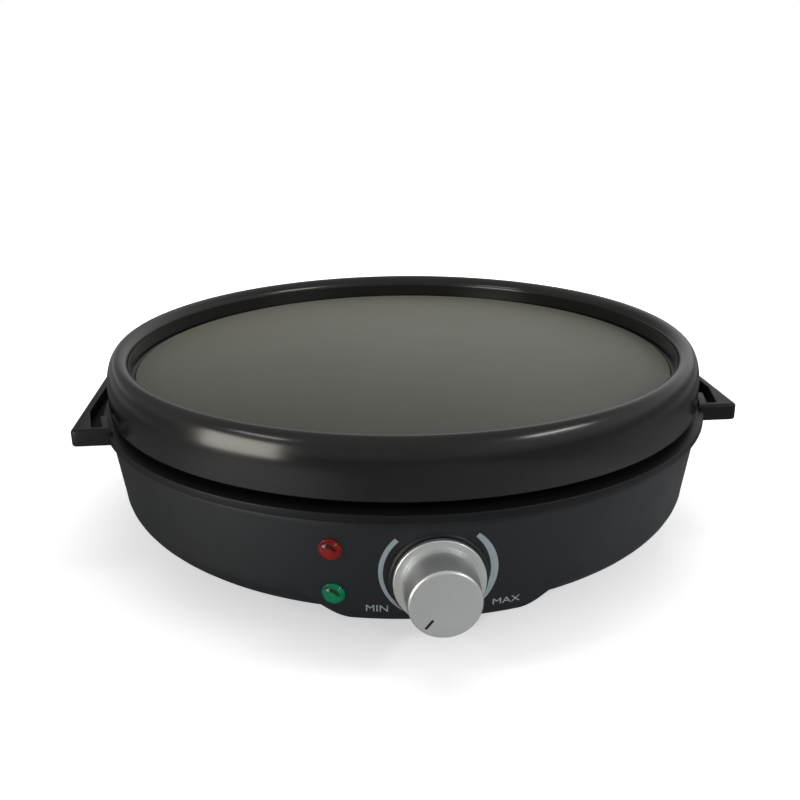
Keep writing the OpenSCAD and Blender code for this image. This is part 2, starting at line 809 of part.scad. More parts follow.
module foot_front_left() { rotate([0, 0, post_angles[2]]) foot(); }
module foot_front_right() { rotate([0, 0, post_angles[3]]) foot(); }
module foot_rear_left() { rotate([0, 0, post_angles[1]]) foot(); }
module foot_rear_right() { rotate([0, 0, post_angles[0]]) foot(); }

// Children turned so that their Z axis leaves the rear wall at the inlet
module gland_axis() {
    translate([0, 0, gland_z]) rotate([-90, 0, 0]) children();
}

module cord_gland() {
    color([0.08, 0.08, 0.08])
        gland_axis()
            difference() {
                union() {
                    translate([0, 0, gland_back - 6])
                        cylinder(r = gland_shank_r, h = gland_face - gland_back + 7);
                    translate([0, 0, gland_face])
                        rotate([0, 0, 30]) cylinder(r = gland_shank_r + 4, h = gland_flange_t, $fn = 6);
                    translate([0, 0, gland_face])
                        cylinder(r = gland_nose_r, h = gland_out - gland_face);
                }
                translate([0, 0, gland_back - 7]) cylinder(r = cord_r, h = gland_out - gland_back + 8);
            }
}

// The lock nut behind the wall
module gland_nut() {
    color([0.10, 0.10, 0.10])
        gland_axis()
            translate([0, 0, gland_back - 5])
                difference() {
                    cylinder(r = gland_shank_r + 3.2, h = 5, $fn = 6);
                    translate([0, 0, -past]) cylinder(r = gland_shank_r + fit_gap, h = 5 + 2 * past);
                }
}

// The domed cap screwed over the gland's nose
module gland_cap() {
    cap_r = gland_shank_r + 2.4;
    from = gland_face + gland_flange_t;
    color([0.08, 0.08, 0.08])
        gland_axis()
            rotate_extrude()
                polygon([[gland_nose_r + fit_gap, from], [cap_r, from], [cap_r, from + 8],
                         [cap_r - 1, from + 10.5], [gland_nose_r + 1.2, gland_out - 0.8],
                         [gland_nose_r + fit_gap, gland_out - 0.8]]);
}

module terminal_block() {
    color([0.90, 0.89, 0.84])
        difference() {
            translate([-block_size[0] / 2, way_y, block_z]) cube(block_size);
            for (x = [-block_screw_x, block_screw_x])
                translate([x, block_y, block_z - past]) {
                    cylinder(r = m3_r + fit_gap, h = block_size[2] + 2 * past);
                    translate([0, 0, past + 4]) cylinder(r = m3_r + 1.6, h = block_size[2]);
                }
        }
}

module block_screws() {
    color([0.72, 0.72, 0.70])
        for (x = [-block_screw_x, block_screw_x])
            translate([x, block_y, block_z + 4]) mirror([0, 0, 1]) screw(m3_r, m3_r + 1.2, 2, 7.5);
}

// --------------------------------------------------------- heat control

module knob_shell() {
    top = knob_back + flange_t;
    inner_r = face_r - knob_wall;
    bevel = 0.5;
    color([0.76, 0.77, 0.78])
        knob_axis()
            difference() {
                rotate_extrude()
                    polygon([[inner_r, knob_back], [flange_r - bevel, knob_back],
                             [flange_r, knob_back + bevel], [flange_r, top - bevel],
                             [flange_r - bevel, top], [grip_r, top],
                             [face_r, knob_face - face_bevel],
                             [face_r - face_bevel, knob_face], [0, knob_face],
                             [0, knob_face - front_t], [inner_r, knob_face - front_t]]);
                pointer_bar(0);
            }
}

// The pointer's groove, with grow added for the groove and 0 for the bar
module pointer_bar(shrink) {
    depth = 0.8;
    rotate([0, 0, pointer_angle])
        translate([pointer_in + shrink, -pointer_w / 2 + shrink, knob_face - depth])
            cube([pointer_out - pointer_in - 2 * shrink, pointer_w - 2 * shrink,
                  shrink > 0 ? depth : depth + past]);
}

module knob_pointer() {
    color([0.03, 0.03, 0.03]) knob_axis() pointer_bar(0.05);
}

module knob_core() {
    inner_r = face_r - knob_wall - fit_gap;
    web_top = knob_face - front_t;
    web_t = 2.4;
    color([0.16, 0.16, 0.17])
        knob_axis()
            difference() {
                union() {
                    translate([0, 0, web_top - web_t]) cylinder(r = inner_r, h = web_t);
                    translate([0, 0, knob_back + 1]) cylinder(r = hub_r, h = web_top - knob_back - 1);
                    translate([0, 0, knob_back + 1]) tube(inner_r, inner_r - 1.5, web_top - knob_back - 1);
                }
                d_shaft(fit_gap / 2, knob_back - past, spindle_front + fit_gap);
            }
}

// The spindle's D section from one depth to another, grown by a clearance
module d_shaft(grow, from, to) {
    intersection() {
        translate([0, 0, from]) cylinder(r = spindle_r + grow, h = to - from);
        translate([-spindle_r - past, -spindle_r - past, from])
            cube([2 * spindle_r + 2 * past, 2 * spindle_r + past - spindle_flat + grow, to - from]);
    }
}

module knob_clip() {
    clip_t = 0.8;
    clip_len = 4;
    color([0.62, 0.62, 0.60])
        knob_axis()
            translate([0, 0, knob_back + 4])
                difference() {
                    tube(hub_r + fit_gap + clip_t, hub_r + fit_gap, clip_len);
                    translate([-2, 0, -past]) cube([4, 2 * hub_r, clip_len + 2 * past]);
                }
}

module thermostat_spindle() {
    flat_from = boss_d + 0.5;
    color([0.80, 0.80, 0.78])
        knob_axis() {
            translate([0, 0, spindle_back]) cylinder(r = spindle_r, h = flat_from - spindle_back);
            d_shaft(0, flat_from, spindle_front);
        }
}

module thermostat_case() {
    color([0.20, 0.20, 0.20])
        knob_axis()
            difference() {
                union() {
                    translate([0, 0, case_back]) cylinder(r = thermo_r, h = thermo_t);
                    translate([0, 0, case_front]) cylinder(r = 11.5, h = neck_t);
                    translate([0, 0, neck_back]) cylinder(r = bush_r, h = boss_t + bracket_t - 1);
                }
                translate([0, 0, spindle_back - pin_seat])
                    cylinder(r = spindle_r + run_gap, h = boss_d - spindle_back);
                translate([0, 0, case_back + 0.5])
                    cylinder(r = pin_r + run_gap, h = spindle_back - case_back);
            }
}

module thermostat_bracket() {
    size = [2 * panel_screw_x + 4 * m4_r + 2.4, 1.34 * thermo_r];
    color([0.70, 0.70, 0.68])
        knob_axis()
            difference() {
                translate([-size[0] / 2, -size[1] / 2, neck_back]) cube([size[0], size[1], bracket_t]);
                translate([0, 0, neck_back - past]) cylinder(r = bush_r + fit_gap, h = bracket_t + 2 * past);
                for (x = [-panel_screw_x, panel_screw_x])
                    translate([x, 0, neck_back - past])
                        cylinder(r = m4_r + fit_gap, h = bracket_t + 2 * past);
            }
}

module thermostat_tabs() {
    color([0.78, 0.74, 0.55])
        knob_axis()
            for (x = [-tab_x, tab_x])
                translate([x - tab_w / 2, -tab_t / 2, case_back - tab_len]) cube([tab_w, tab_t, tab_len]);
}

module panel_screws() {
    color([0.72, 0.72, 0.70])
        knob_axis()
            for (x = [-panel_screw_x, panel_screw_x])
                translate([x, 0, boss_d - 2.4])
                    mirror([0, 0, 1]) screw(m4_r, m4_r + 1.6, 2, boss_t - 2.4 + bracket_t + 2);
}

module adjusting_pin() {
    color([0.93, 0.92, 0.88])
        knob_axis() translate([0, 0, spindle_back - pin_seat - pin_len]) cylinder(r = pin_r, h = pin_len);
}

// ---------------------------------------------------------------- lamps

module lens(z) {
    base_t = 0.8;
    bore = neon_r + 0.3;
    lamp_axis(z)
        rotate_extrude()
            polygon(concat([[bore, -stem_len], [stem_r, -stem_len], [stem_r, 0.2], [lens_r, 0.2],
                            [lens_r, base_t]],
                           arc(0, base_t, lens_r, lens_h - base_t, 8, 90),
                           [[0, -1.5], [bore, -1.5]]));
}

module red_lens() { color([0.62, 0.05, 0.05]) lens(lamp_high); }
module green_lens() { color([0.02, 0.42, 0.28]) lens(lamp_low); }

module lens_clips() {
    color([0.15, 0.15, 0.15])
        for (z = [lamp_low, lamp_high])
            lamp_axis(z)
                translate([0, 0, -wall_t - 3.2]) tube(stem_r + 3, stem_r + fit_gap, 2.4);
}

module neon_tubes() {
    color([0.95, 0.80, 0.65])
        for (z = [lamp_low, lamp_high])
            lamp_axis(z) translate([0, 0, -stem_len - 1]) cylinder(r = neon_r, h = stem_len - 0.8);
}

// A point behind a lamp: back is how far behind the wall's outside
function lamp_point(z, back, up) =
    let (r = wall_at(z) - back * cos(wall_tilt) + up * sin(wall_tilt),
         a = -90 - lamp_angle)
    [r * cos(a), r * sin(a), z + back * sin(wall_tilt) + up * cos(wall_tilt)];

module lamp_leads() {
    side_x = -thermo_r - 0.9;
    side_y = -(case_back + case_front) / 2;
    color([0.85, 0.84, 0.80])
        for (z = [lamp_low, lamp_high], up = [-1, 1])
            let (goal = knob_z + (z > knob_z ? 6 : -6) + 1.5 * up,
                 back = stem_len + 1.1)
            lead(route([lamp_point(z, back, up), lamp_point(z, back + 5, up),
                        [-32, side_y + 12, (z + goal) / 2 + up], [side_x - 6, side_y + 4, goal],
                        [side_x, side_y, goal]]),
                 0.7, [0, 0, 1]);
}

// ---------------------------------------------------------------- leads

lead_r = 1.2;
lane_r = floor_hole_r - 14;
lane_z = floor_z + 6;
high_z = reflector_z - 12;

module live_lead() {
    points = [[-block_way, way_y - 0.1, way_z], [-block_way - 2, way_y - 8, way_z - 1],
              [-0.6 * lane_r, 1.16 * lane_r, lane_z + 1], [-lane_r, 0.5 * lane_r, lane_z],
              [-lane_r, -0.65 * lane_r, lane_z + 1], [-0.65 * lane_r, -1.45 * lane_r, lane_z + 8],
              [-tab_x - 6, -case_back + 2.2 * tab_len, knob_z - 4],
              [-tab_x, -case_back + tab_len + 6, knob_z], [-tab_x, -case_back + tab_len + 0.1, knob_z]];
    color([0.45, 0.25, 0.12]) lead(route(points), lead_r, [0, 0.1, 1]);
}

module neutral_lead() {
    leg = [element_ring * cos(leg_angles[0]), element_ring * sin(leg_angles[0]), tab_end];
    points = [[block_way, way_y - 0.1, way_z], [block_way + 1, way_y - 7, way_z],
              [leg[0] - 3, leg[1] - 6, way_z + 6], [leg[0], leg[1], leg[2] - 5],
              [leg[0], leg[1], leg[2] - 0.1]];
    color([0.15, 0.25, 0.55]) lead(route(points), lead_r, [1, 0.3, 0]);
}

module earth_lead() {
    points = [[0, way_y - 0.1, way_z], [0, way_y - 7, way_z + 1], [-1, way_y - 18, way_z + 20],
              [0, earth_y + 9, high_z], [0, earth_y + 9, earth_boss_z - tag_t - 0.1]];
    color([0.35, 0.60, 0.20]) lead(route(points), lead_r, [1, 0, 0]);
}

module fuse_leads() {
    leg = [element_ring * cos(leg_angles[1]), element_ring * sin(leg_angles[1]), tab_end];
    half = fuse_len / 2 + 0.1;
    first = [[tab_x, -case_back + tab_len + 0.1, knob_z], [tab_x, -case_back + tab_len + 7, knob_z + 1],
             [2, -case_back + 3.2 * tab_len, high_z - 9], [0.6 * fuse_x, -0.6 * element_ring, high_z + 1],
             [fuse_x, -half - 10, fuse_z - 1], [fuse_x, -half, fuse_z]];
    second = [[fuse_x, half, fuse_z], [fuse_x, half + 10, fuse_z - 1],
              [0.88 * fuse_x, 0.53 * element_ring, high_z - 3],
              [leg[0] - 6, leg[1] - 12, (tab_end + lane_z) / 2 + 10], [leg[0], leg[1], leg[2] - 5],
              [leg[0], leg[1], leg[2] - 0.1]];
    color([0.70, 0.20, 0.15]) {
        lead(route(first), lead_r, [1, 0.1, 0]);
        lead(route(second), lead_r, [1, 0.1, 0]);
    }
}

griddle_plate();
heating_element();
element_beads();
element_tabs();
element_clamps();
clamp_screws();
heat_reflector();
plate_posts();
post_screws();
base_shell();
handle_ring();
ring_screws();
bottom_cover();
cover_screws();
foot_front_left();
foot_front_right();
foot_rear_left();
foot_rear_right();
knob_shell();
knob_core();
knob_pointer();
knob_clip();
thermostat_spindle();
thermostat_case();
thermostat_bracket();
thermostat_tabs();
panel_screws();
adjusting_pin();
sensing_bulb();
capillary();
bulb_clips();
bulb_screws();
red_lens();
green_lens();
lens_clips();
neon_tubes();
lamp_leads();
thermal_fuse();
fuse_clip();
terminal_block();
block_screws();
earth_tag();
earth_screw();
cord_gland();
gland_nut();
gland_cap();
live_lead();
neutral_lead();
earth_lead();
fuse_leads();
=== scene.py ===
"""A round electric crepe maker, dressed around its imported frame.

Lengths are in millimetres until a mesh is made. The control faces -Y and +Z is up.
"""
import json
import math

import bmesh
import bpy
from mathutils import Matrix, Vector


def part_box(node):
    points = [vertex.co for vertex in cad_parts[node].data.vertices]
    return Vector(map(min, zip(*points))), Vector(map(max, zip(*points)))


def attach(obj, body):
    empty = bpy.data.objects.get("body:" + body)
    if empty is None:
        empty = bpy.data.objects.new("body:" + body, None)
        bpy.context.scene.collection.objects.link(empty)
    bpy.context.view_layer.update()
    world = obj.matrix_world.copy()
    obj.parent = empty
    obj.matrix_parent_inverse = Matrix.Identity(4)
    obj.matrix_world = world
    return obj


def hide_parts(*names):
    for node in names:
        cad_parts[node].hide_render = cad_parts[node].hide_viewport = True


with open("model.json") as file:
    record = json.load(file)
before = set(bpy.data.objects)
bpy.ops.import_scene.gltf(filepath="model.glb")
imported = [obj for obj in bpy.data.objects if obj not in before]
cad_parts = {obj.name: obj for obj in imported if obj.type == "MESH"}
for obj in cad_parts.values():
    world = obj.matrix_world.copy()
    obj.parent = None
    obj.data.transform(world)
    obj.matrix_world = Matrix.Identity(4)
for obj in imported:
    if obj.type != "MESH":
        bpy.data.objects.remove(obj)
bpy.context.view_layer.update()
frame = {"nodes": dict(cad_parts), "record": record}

MM = 0.001

# Griddle plate
PLATE_R = 160.0
SURFACE_Z = 89.0
PLATE_BACK_Z = 84.0
COOK_R = 145.6
GUTTER_R = 147.6
CREST_R = 153.5
CREST_Z = 101.5
SKIRT_Z = 74.3
SKIRT_IN_R = 156.4
SKIRT_FILLET = 3.6
GUTTER_DIP = 1.2
INNER_RISE = 6.25
OUTER_DROP = 15.5
POST_RING_R = 120.0
POST_BOSS_R = 7.1
POST_BOSS_LOW = 78.0
CLAMP_RINGS = (84.0, 106.0)
CLAMP_BOSS_R = 4.5
CLAMP_BOSS_LOW = 77.0

# Handle ring
RING_R = 163.7
RING_TOP = 70.6
RING_LOW = 66.6
SEAT_R = 150.0
LIP_R = 152.0
LIP_Z = 78.1
HANDLE_X = 171.5
HANDLE_HALF = 58.0
HANDLE_LOW = 64.5
HANDLE_TOP = 73.3
HANDLE_IN_R = 161.3
LAND_R = 165.1
LAND_TURN = 13.3
POCKET_X = 167.2
POCKET_HALF = 53.9
POCKET_MID = 30.2
POCKET_END_X = 161.5
CORNER_R = 3.0
ROUND_OVER = 1.7
ROUND_UNDER = 0.9
POCKET_ROUND = 0.7
SEAT_ROUND = 0.3

# Base shell
FOOT_H = 7.0
FLOOR_IN_Z = 10.0
FLOOR_HOLE_R = 76.0
FLOOR_R = 110.2
WALL_T = 2.8
BEND_Z = 30.5
BEND_R = 156.2
SHELL_R = 161.0
PANEL_Z = 15.8
PANEL_HALF = 36.5
PANEL_BLEND = 33.0
LEDGE_ROUND = 1.5
LIP_STEP = 0.4
BOSS_ROOT = 8.0

# Heat control
KNOB_Z = 39.0
BOSS_D = 160.2
BOSS_R = 21.3
BOSS_BORE = 5.2
KNOB_BACK = 160.9
KNOB_FACE = 180.9
FLANGE_R = 19.8
FLANGE_T = 2.5
GROOVE_R = 17.0
GROOVE_T = 2.2
GRIP_R = 16.4
FACE_R = 15.3
FACE_T = 2.2
SKIN_T = 1.2
POINTER_ANGLE = 231.0
POINTER_REACH = (8.1, 13.2)
POINTER_HALF = 0.58

# Lamps
LAMP_ANGLE = 16.5
LAMP_HIGH = 51.7
LAMP_LOW = 28.8
LENS_R = 5.1
LENS_NECK_R = 4.2
LENS_BORE_R = 2.7
LENS_DEPTH = 15.0
DOME_R = 4.6
DOME_RISE = 2.6
# The SOCKET numbers place a painted shade crescent on each lens.
SOCKET_SHIFT = -0.9
SOCKET_INNER = (2.5, 4.0)
SOCKET_OUTER = (4.1, 5.4)
SOCKET_LEAN = 0.45
SOCKET_UPPER = (1.8, 3.8)
SOCKET_SHADE = 0.2

# Print on the panel
PRINT_PROUD = 0.045
PRINT_ROOT = -0.08

# Feet
FOOT_R = 12.0
FOOT_PLUG_R = 4.0
FOOT_BARB_R = 5.0

# Cord gland
GLAND_Z = 34.0
GLAND_FACE = 158.9
INLET_R = 12.5
INLET_BORE = 7.2
CAP_BORE = 5.7
CAP_R = 9.4
CAP_BACK = 161.9
CAP_FACE = 176.1
RIB_COUNT = 18
RIB_DEPTH = 0.55

# Camera, in metres and radians
CAMERA_SPOT = (-0.04574, -0.49790, 0.2404)
CAMERA_HEADING = -0.088221
CAMERA_DIP = 0.3427
CAMERA_ROLL = -0.009214
CAMERA_LENS = 41.68
CAMERA_SENSOR = 36.0

# Room tones. Each SPAN is where a tone changes, as a share of the direction of view.
ROOM_LIGHT = 0.42
ROOM_LOW = (0.36, 0.22)
LOW_SPAN = (-0.4, 0.3)
ROOM_FAR = 0.50
FAR_SPAN = (0.4, 0.75)
ROOM_BACK = (0.25, 0.74)
BACK_SPAN = (-0.44, 0.48)
ROOM_FRONT = (0.41, 0.60)
FRONT_SPAN = (0.0, 0.6)
DEPTH_SPAN = (0.2, 0.7)
HORIZON_SPAN = (0.05, 0.18)
ROOM_HIGH = 0.47
HIGH_SPAN = (0.45, 0.75)

# Floor tones. Each of their spans is in metres.
FLOOR_SIZE = 12.0
FLOOR_TONE = 0.86
FLOOR_GLOW = (0.55, 1.0)
GLOW_SPAN = (0.15, 0.6)
# Painted light and shade on the floor, seen only in reflections:
MIRROR_LIGHT_AND_SHADE = (0.46, 0.13)
MIRROR_SPAN = (-0.17, 0.10)
FAR_MIRROR_LIGHT = 0.42
FAR_MIRROR_LIGHT_SPAN = (0.4, 0.65)
# A painted pool of light on the floor beside the left_panel lamp:
PAINTED_LIGHT_POOL = 0.6
LIGHT_POOL_SPAN = (0.04, 0.19)
LIGHT_POOL_SPOT = (-0.23, -0.24, 0.0)
MIRROR_LIGHT_SHARES = (("X", (-0.15, 0.15), (0.9, 1.3)), ("X", (0.20, 0.28), (1.0, 0.62)),
                ("Y", (-0.32, -0.22), (0.8, 1.0)))

# Grain and the painted edge highlight, as shares
NOISE_MIDDLE = (0.3, 0.7)
HIGHLIGHT_START = 0.985
HIGHLIGHT_FULL = 0.86
FLECK_CORE = 0.38


# ------------------------------------------------------------ camera and room

def place_camera():
    """The camera stands low in front of the plate, a little left of the control."""
    camera_data = bpy.data.cameras.new("front_camera")
    camera_data.lens = CAMERA_LENS
    camera_data.sensor_width = CAMERA_SENSOR
    camera_data.clip_start = 0.01
    camera = bpy.data.objects.new("front_camera", camera_data)
    bpy.context.scene.collection.objects.link(camera)
    heading = Matrix.Rotation(CAMERA_HEADING, 4, "Z")
    dip = Matrix.Rotation(math.pi / 2 - CAMERA_DIP, 4, "X")
    roll = Matrix.Rotation(CAMERA_ROLL, 4, "Z")
    camera.matrix_world = Matrix.Translation(CAMERA_SPOT) @ heading @ dip @ roll
    bpy.context.scene.camera = camera


def softbox(name, position, target, size, watts, colour=(1.0, 1.0, 1.0),
            mirrored=True, spread=True):
    """A rectangular lamp turned to its target, and whether gloss and matt surfaces see it."""
    lamp_data = bpy.data.lights.new(name, "AREA")
    lamp_data.shape = "RECTANGLE"
    lamp_data.size, lamp_data.size_y = size
    lamp_data.energy = watts
    lamp_data.color = colour
    lamp = bpy.data.objects.new(name, lamp_data)
    lamp.location = position
    aim = Vector(target) - Vector(position)
    lamp.rotation_euler = aim.to_track_quat("-Z", "Y").to_euler()
    lamp.visible_camera = False
    lamp.visible_glossy = mirrored
    lamp.visible_diffuse = spread
    bpy.context.scene.collection.objects.link(lamp)


def graded(tree, value, low, high, dim, bright, smooth=True):
    """The value between low and high laid over dim to bright."""
    node = tree.nodes.new("ShaderNodeMapRange")
    if smooth:
        node.interpolation_type = "SMOOTHSTEP"
    node.inputs["From Min"].default_value = low
    node.inputs["From Max"].default_value = high
    node.inputs["To Min"].default_value = dim
    node.inputs["To Max"].default_value = bright
    tree.links.new(value, node.inputs["Value"])
    return node.outputs["Result"]


def reckon(tree, operation, first, second):
    """One sum of two sockets or numbers."""
    node = tree.nodes.new("ShaderNodeMath")
    node.operation = operation
    for socket, value in zip(node.inputs, (first, second)):
        if isinstance(value, float):
            socket.default_value = value
        else:
            tree.links.new(value, socket)
    return node.outputs[0]


def choose(tree, mask, off, on):
    """The number off where the mask is 0 and on where it is 1."""
    node = tree.nodes.new("ShaderNodeMix")
    tree.links.new(mask, node.inputs["Factor"])
    for label, value in ((2, off), (3, on)):
        if isinstance(value, float):
            node.inputs[label].default_value = value
        else:
            tree.links.new(value, node.inputs[label])
    return node.outputs[0]


def white_room():
    """White to the eye and an even grey as light. Reflections show a dimmer room."""
    world = bpy.data.worlds.new("white_room")
    bpy.context.scene.world = world
    world.use_nodes = True
    tree = world.node_tree
    back = tree.nodes["Background"]
    rays = tree.nodes.new("ShaderNodeLightPath")
    coordinates = tree.nodes.new("ShaderNodeTexCoord")
    heading = tree.nodes.new("ShaderNodeSeparateXYZ")
    tree.links.new(coordinates.outputs["Generated"], heading.inputs[0])
    across, away, up = (heading.outputs[axis] for axis in ("X", "Y", "Z"))
    low = graded(tree, away, *LOW_SPAN, *ROOM_LOW)
    low = choose(tree, graded(tree, away, *FAR_SPAN, 0.0, 1.0), low, ROOM_FAR)
    back_wall = graded(tree, across, *BACK_SPAN, *ROOM_BACK)
    front_wall = graded(tree, across, *FRONT_SPAN, *ROOM_FRONT)
    walls = choose(tree, graded(tree, away, *DEPTH_SPAN, 0.0, 1.0), front_wall, back_wall)
    walls = choose(tree, graded(tree, up, *HORIZON_SPAN, 0.0, 1.0), low, walls)
    mirrored = choose(tree, graded(tree, up, *HIGH_SPAN, 0.0, 1.0), walls, ROOM_HIGH)
    seen = reckon(tree, "MAXIMUM", rays.outputs["Is Camera Ray"],
                  rays.outputs["Is Transmission Ray"])
    level = choose(tree, rays.outputs["Is Glossy Ray"], ROOM_LIGHT, mirrored)
    tree.links.new(choose(tree, seen, level, 1.0), back.inputs["Strength"])
    back.inputs["Color"].default_value = (1.0, 1.0, 1.0, 1.0)


def pale_floor():
    """A pale table that fades to white away from the shadow. Reflections see painted light and
    shade on it, graded by place, with a painted pool of light beside the left_panel lamp.
    """
    bpy.ops.mesh.primitive_plane_add(size=FLOOR_SIZE, location=(0.0, 0.0, 0.0))
    floor = bpy.context.object
    floor.name = "pale_floor"
    material = bpy.data.materials.new("pale_floor")
    material.use_nodes = True
    tree = material.node_tree
    shader = tree.nodes["Principled BSDF"]
    rays = tree.nodes.new("ShaderNodeLightPath")
    shader.inputs["Roughness"].default_value = 0.9
    shader.inputs["Specular IOR Level"].default_value = 0.0
    coordinates = tree.nodes.new("ShaderNodeTexCoord")
    reach = tree.nodes.new("ShaderNodeVectorMath")
    reach.operation = "LENGTH"
    tree.links.new(coordinates.outputs["Object"], reach.inputs[0])
    glow = graded(tree, reach.outputs["Value"], *GLOW_SPAN, *FLOOR_GLOW)
    tree.links.new(reckon(tree, "MULTIPLY", rays.outputs["Is Camera Ray"], glow),
                   shader.inputs["Emission Strength"])
    spot = tree.nodes.new("ShaderNodeSeparateXYZ")
    tree.links.new(coordinates.outputs["Object"], spot.inputs[0])
    # Painted light and shade: the floor's tone as reflections see it, graded by place.
    mirrored = graded(tree, spot.outputs["Y"], *MIRROR_SPAN, *MIRROR_LIGHT_AND_SHADE)
    far = graded(tree, reach.outputs["Value"], *FAR_MIRROR_LIGHT_SPAN, 0.0, FAR_MIRROR_LIGHT)
    mirrored = reckon(tree, "MAXIMUM", mirrored, far)
    for axis, span, shares in MIRROR_LIGHT_SHARES:
        share = graded(tree, spot.outputs[axis], *span, *shares)
        mirrored = reckon(tree, "MULTIPLY", mirrored, share)
    # A painted pool of light beside the left_panel lamp, seen only in reflections.
    from_painted_pool = tree.nodes.new("ShaderNodeVectorMath")
    from_painted_pool.operation = "DISTANCE"
    from_painted_pool.inputs[1].default_value = LIGHT_POOL_SPOT
    tree.links.new(coordinates.outputs["Object"], from_painted_pool.inputs[0])
    painted_pool = graded(tree, from_painted_pool.outputs["Value"], *LIGHT_POOL_SPAN, PAINTED_LIGHT_POOL, 0.0)
    mirrored = reckon(tree, "ADD", mirrored, painted_pool)
    tone = choose(tree, rays.outputs["Is Glossy Ray"], FLOOR_TONE, mirrored)
    paint = tree.nodes.new("ShaderNodeCombineColor")
    for channel in paint.inputs:
        tree.links.new(tone, channel)
    tree.links.new(paint.outputs[0], shader.inputs["Base Color"])
    shader.inputs["Emission Color"].default_value = (1.0, 1.0, 1.0, 1.0)
    floor.data.materials.append(material)


# ------------------------------------------------------------ shared effects

def effect(name, inputs, outputs):
    """A shader node group with its own inputs and outputs, both as (name, kind, value)."""
    group = bpy.data.node_groups.new(name, "ShaderNodeTree")
    for label, kind, value in inputs:
        socket = group.interface.new_socket(label, in_out="INPUT", socket_type=kind)
        socket.default_value = value
    for label, kind in outputs:
        group.interface.new_socket(label, in_out="OUTPUT", socket_type=kind)
    start = group.nodes.new("NodeGroupInput")
    end = group.nodes.new("NodeGroupOutput")
    return group, start, end


def scaled_place(group, size_socket):
    """Object coordinates divided by a size in millimetres."""
    coordinates = group.nodes.new("ShaderNodeTexCoord")
    scaled = group.nodes.new("ShaderNodeVectorMath")
    scaled.operation = "SCALE"
    group.links.new(coordinates.outputs["Object"], scaled.inputs[0])
    group.links.new(reckon(group, "DIVIDE", 1.0 / MM, size_socket), scaled.inputs["Scale"])
    return scaled.outputs[0]


def noise(group, size_socket, detail, roughness):
    """Noise whose cells have a size in millimetres."""
    texture = group.nodes.new("ShaderNodeTexNoise")
    texture.inputs["Scale"].default_value = 1.0
    texture.inputs["Detail"].default_value = detail
    texture.inputs["Roughness"].default_value = roughness
    group.links.new(scaled_place(group, size_socket), texture.inputs["Vector"])
    return texture.outputs[0]


def make_surface_grain():
    """The fine texture of a surface, and its slow drift from place to place."""
    group, start, end = effect(
        "surface_grain",
        [("Grain", "NodeSocketFloat", 0.5), ("Drift", "NodeSocketFloat", 40.0)],
        [("Height", "NodeSocketFloat"), ("Mottle", "NodeSocketFloat")])
    fine = noise(group, start.outputs["Grain"], detail=3.0, roughness=0.55)
    slow = noise(group, start.outputs["Drift"], detail=4.0, roughness=0.6)
    group.links.new(fine, end.inputs["Height"])
    group.links.new(slow, end.inputs["Mottle"])
    return group


def make_painted_edge_highlight():
    """A mask that is 1 on convex edges, where a lighter tone is painted as a highlight."""
    group, start, end = effect(
        "painted_edge_highlight",
        [("Width", "NodeSocketFloat", 0.6)],
        [("Mask", "NodeSocketFloat")])
    soft = group.nodes.new("ShaderNodeBevel")
    soft.samples = 4
    width = reckon(group, "MULTIPLY", start.outputs["Width"], MM)
    group.links.new(width, soft.inputs["Radius"])
    true = group.nodes.new("ShaderNodeNewGeometry")
    match = group.nodes.new("ShaderNodeVectorMath")
    match.operation = "DOT_PRODUCT"
    group.links.new(soft.outputs["Normal"], match.inputs[0])
    group.links.new(true.outputs["Normal"], match.inputs[1])
    level = graded(group, match.outputs["Value"], HIGHLIGHT_START, HIGHLIGHT_FULL, 0.0, 1.0, smooth=False)
    group.links.new(level, end.inputs["Mask"])
    return group


def make_coat_fleck():
    """Sparse tiny flecks in a sprayed coating."""
    group, start, end = effect(
        "coat_fleck",
        [("Size", "NodeSocketFloat", 0.4), ("Share", "NodeSocketFloat", 0.06)],
        [("Mask", "NodeSocketFloat")])
    cells = group.nodes.new("ShaderNodeTexVoronoi")
    cells.inputs["Scale"].default_value = 1.0
    group.links.new(scaled_place(group, start.outputs["Size"]), cells.inputs["Vector"])
    split = group.nodes.new("ShaderNodeSeparateColor")
    group.links.new(cells.outputs["Color"], split.inputs[0])
    picked = reckon(group, "LESS_THAN", split.outputs[0], start.outputs["Share"])
    core = reckon(group, "LESS_THAN", cells.outputs["Distance"], FLECK_CORE)
    group.links.new(reckon(group, "MULTIPLY", picked, core), end.inputs["Mask"])
    return group


# ------------------------------------------------------------ finishes

GRAIN = make_surface_grain()
EDGE_HIGHLIGHT = make_painted_edge_highlight()
FLECK = make_coat_fleck()


def use_effect(tree, group, **values):
    """One use of a shared effect, with its inputs set."""
    node = tree.nodes.new("ShaderNodeGroup")
    node.node_tree = group
    for label, value in values.items():
        node.inputs[label].default_value = value
    return node


def blend_colours(tree, mask, low, high):
    """A colour that goes from low to high as the mask rises. Each is a colour or a socket."""
    mix = tree.nodes.new("ShaderNodeMix")
    mix.data_type = "RGBA"
    tree.links.new(mask, mix.inputs["Factor"])
    for label, colour in ((6, low), (7, high)):
        if isinstance(colour, tuple):
            mix.inputs[label].default_value = (*colour, 1.0)
        else:
            tree.links.new(colour, mix.inputs[label])
    return mix.outputs[2]


def spread(tree, value, low, high):
    """The middle of a noise laid over low to high."""
    return graded(tree, value, *NOISE_MIDDLE, low, high, smooth=False)


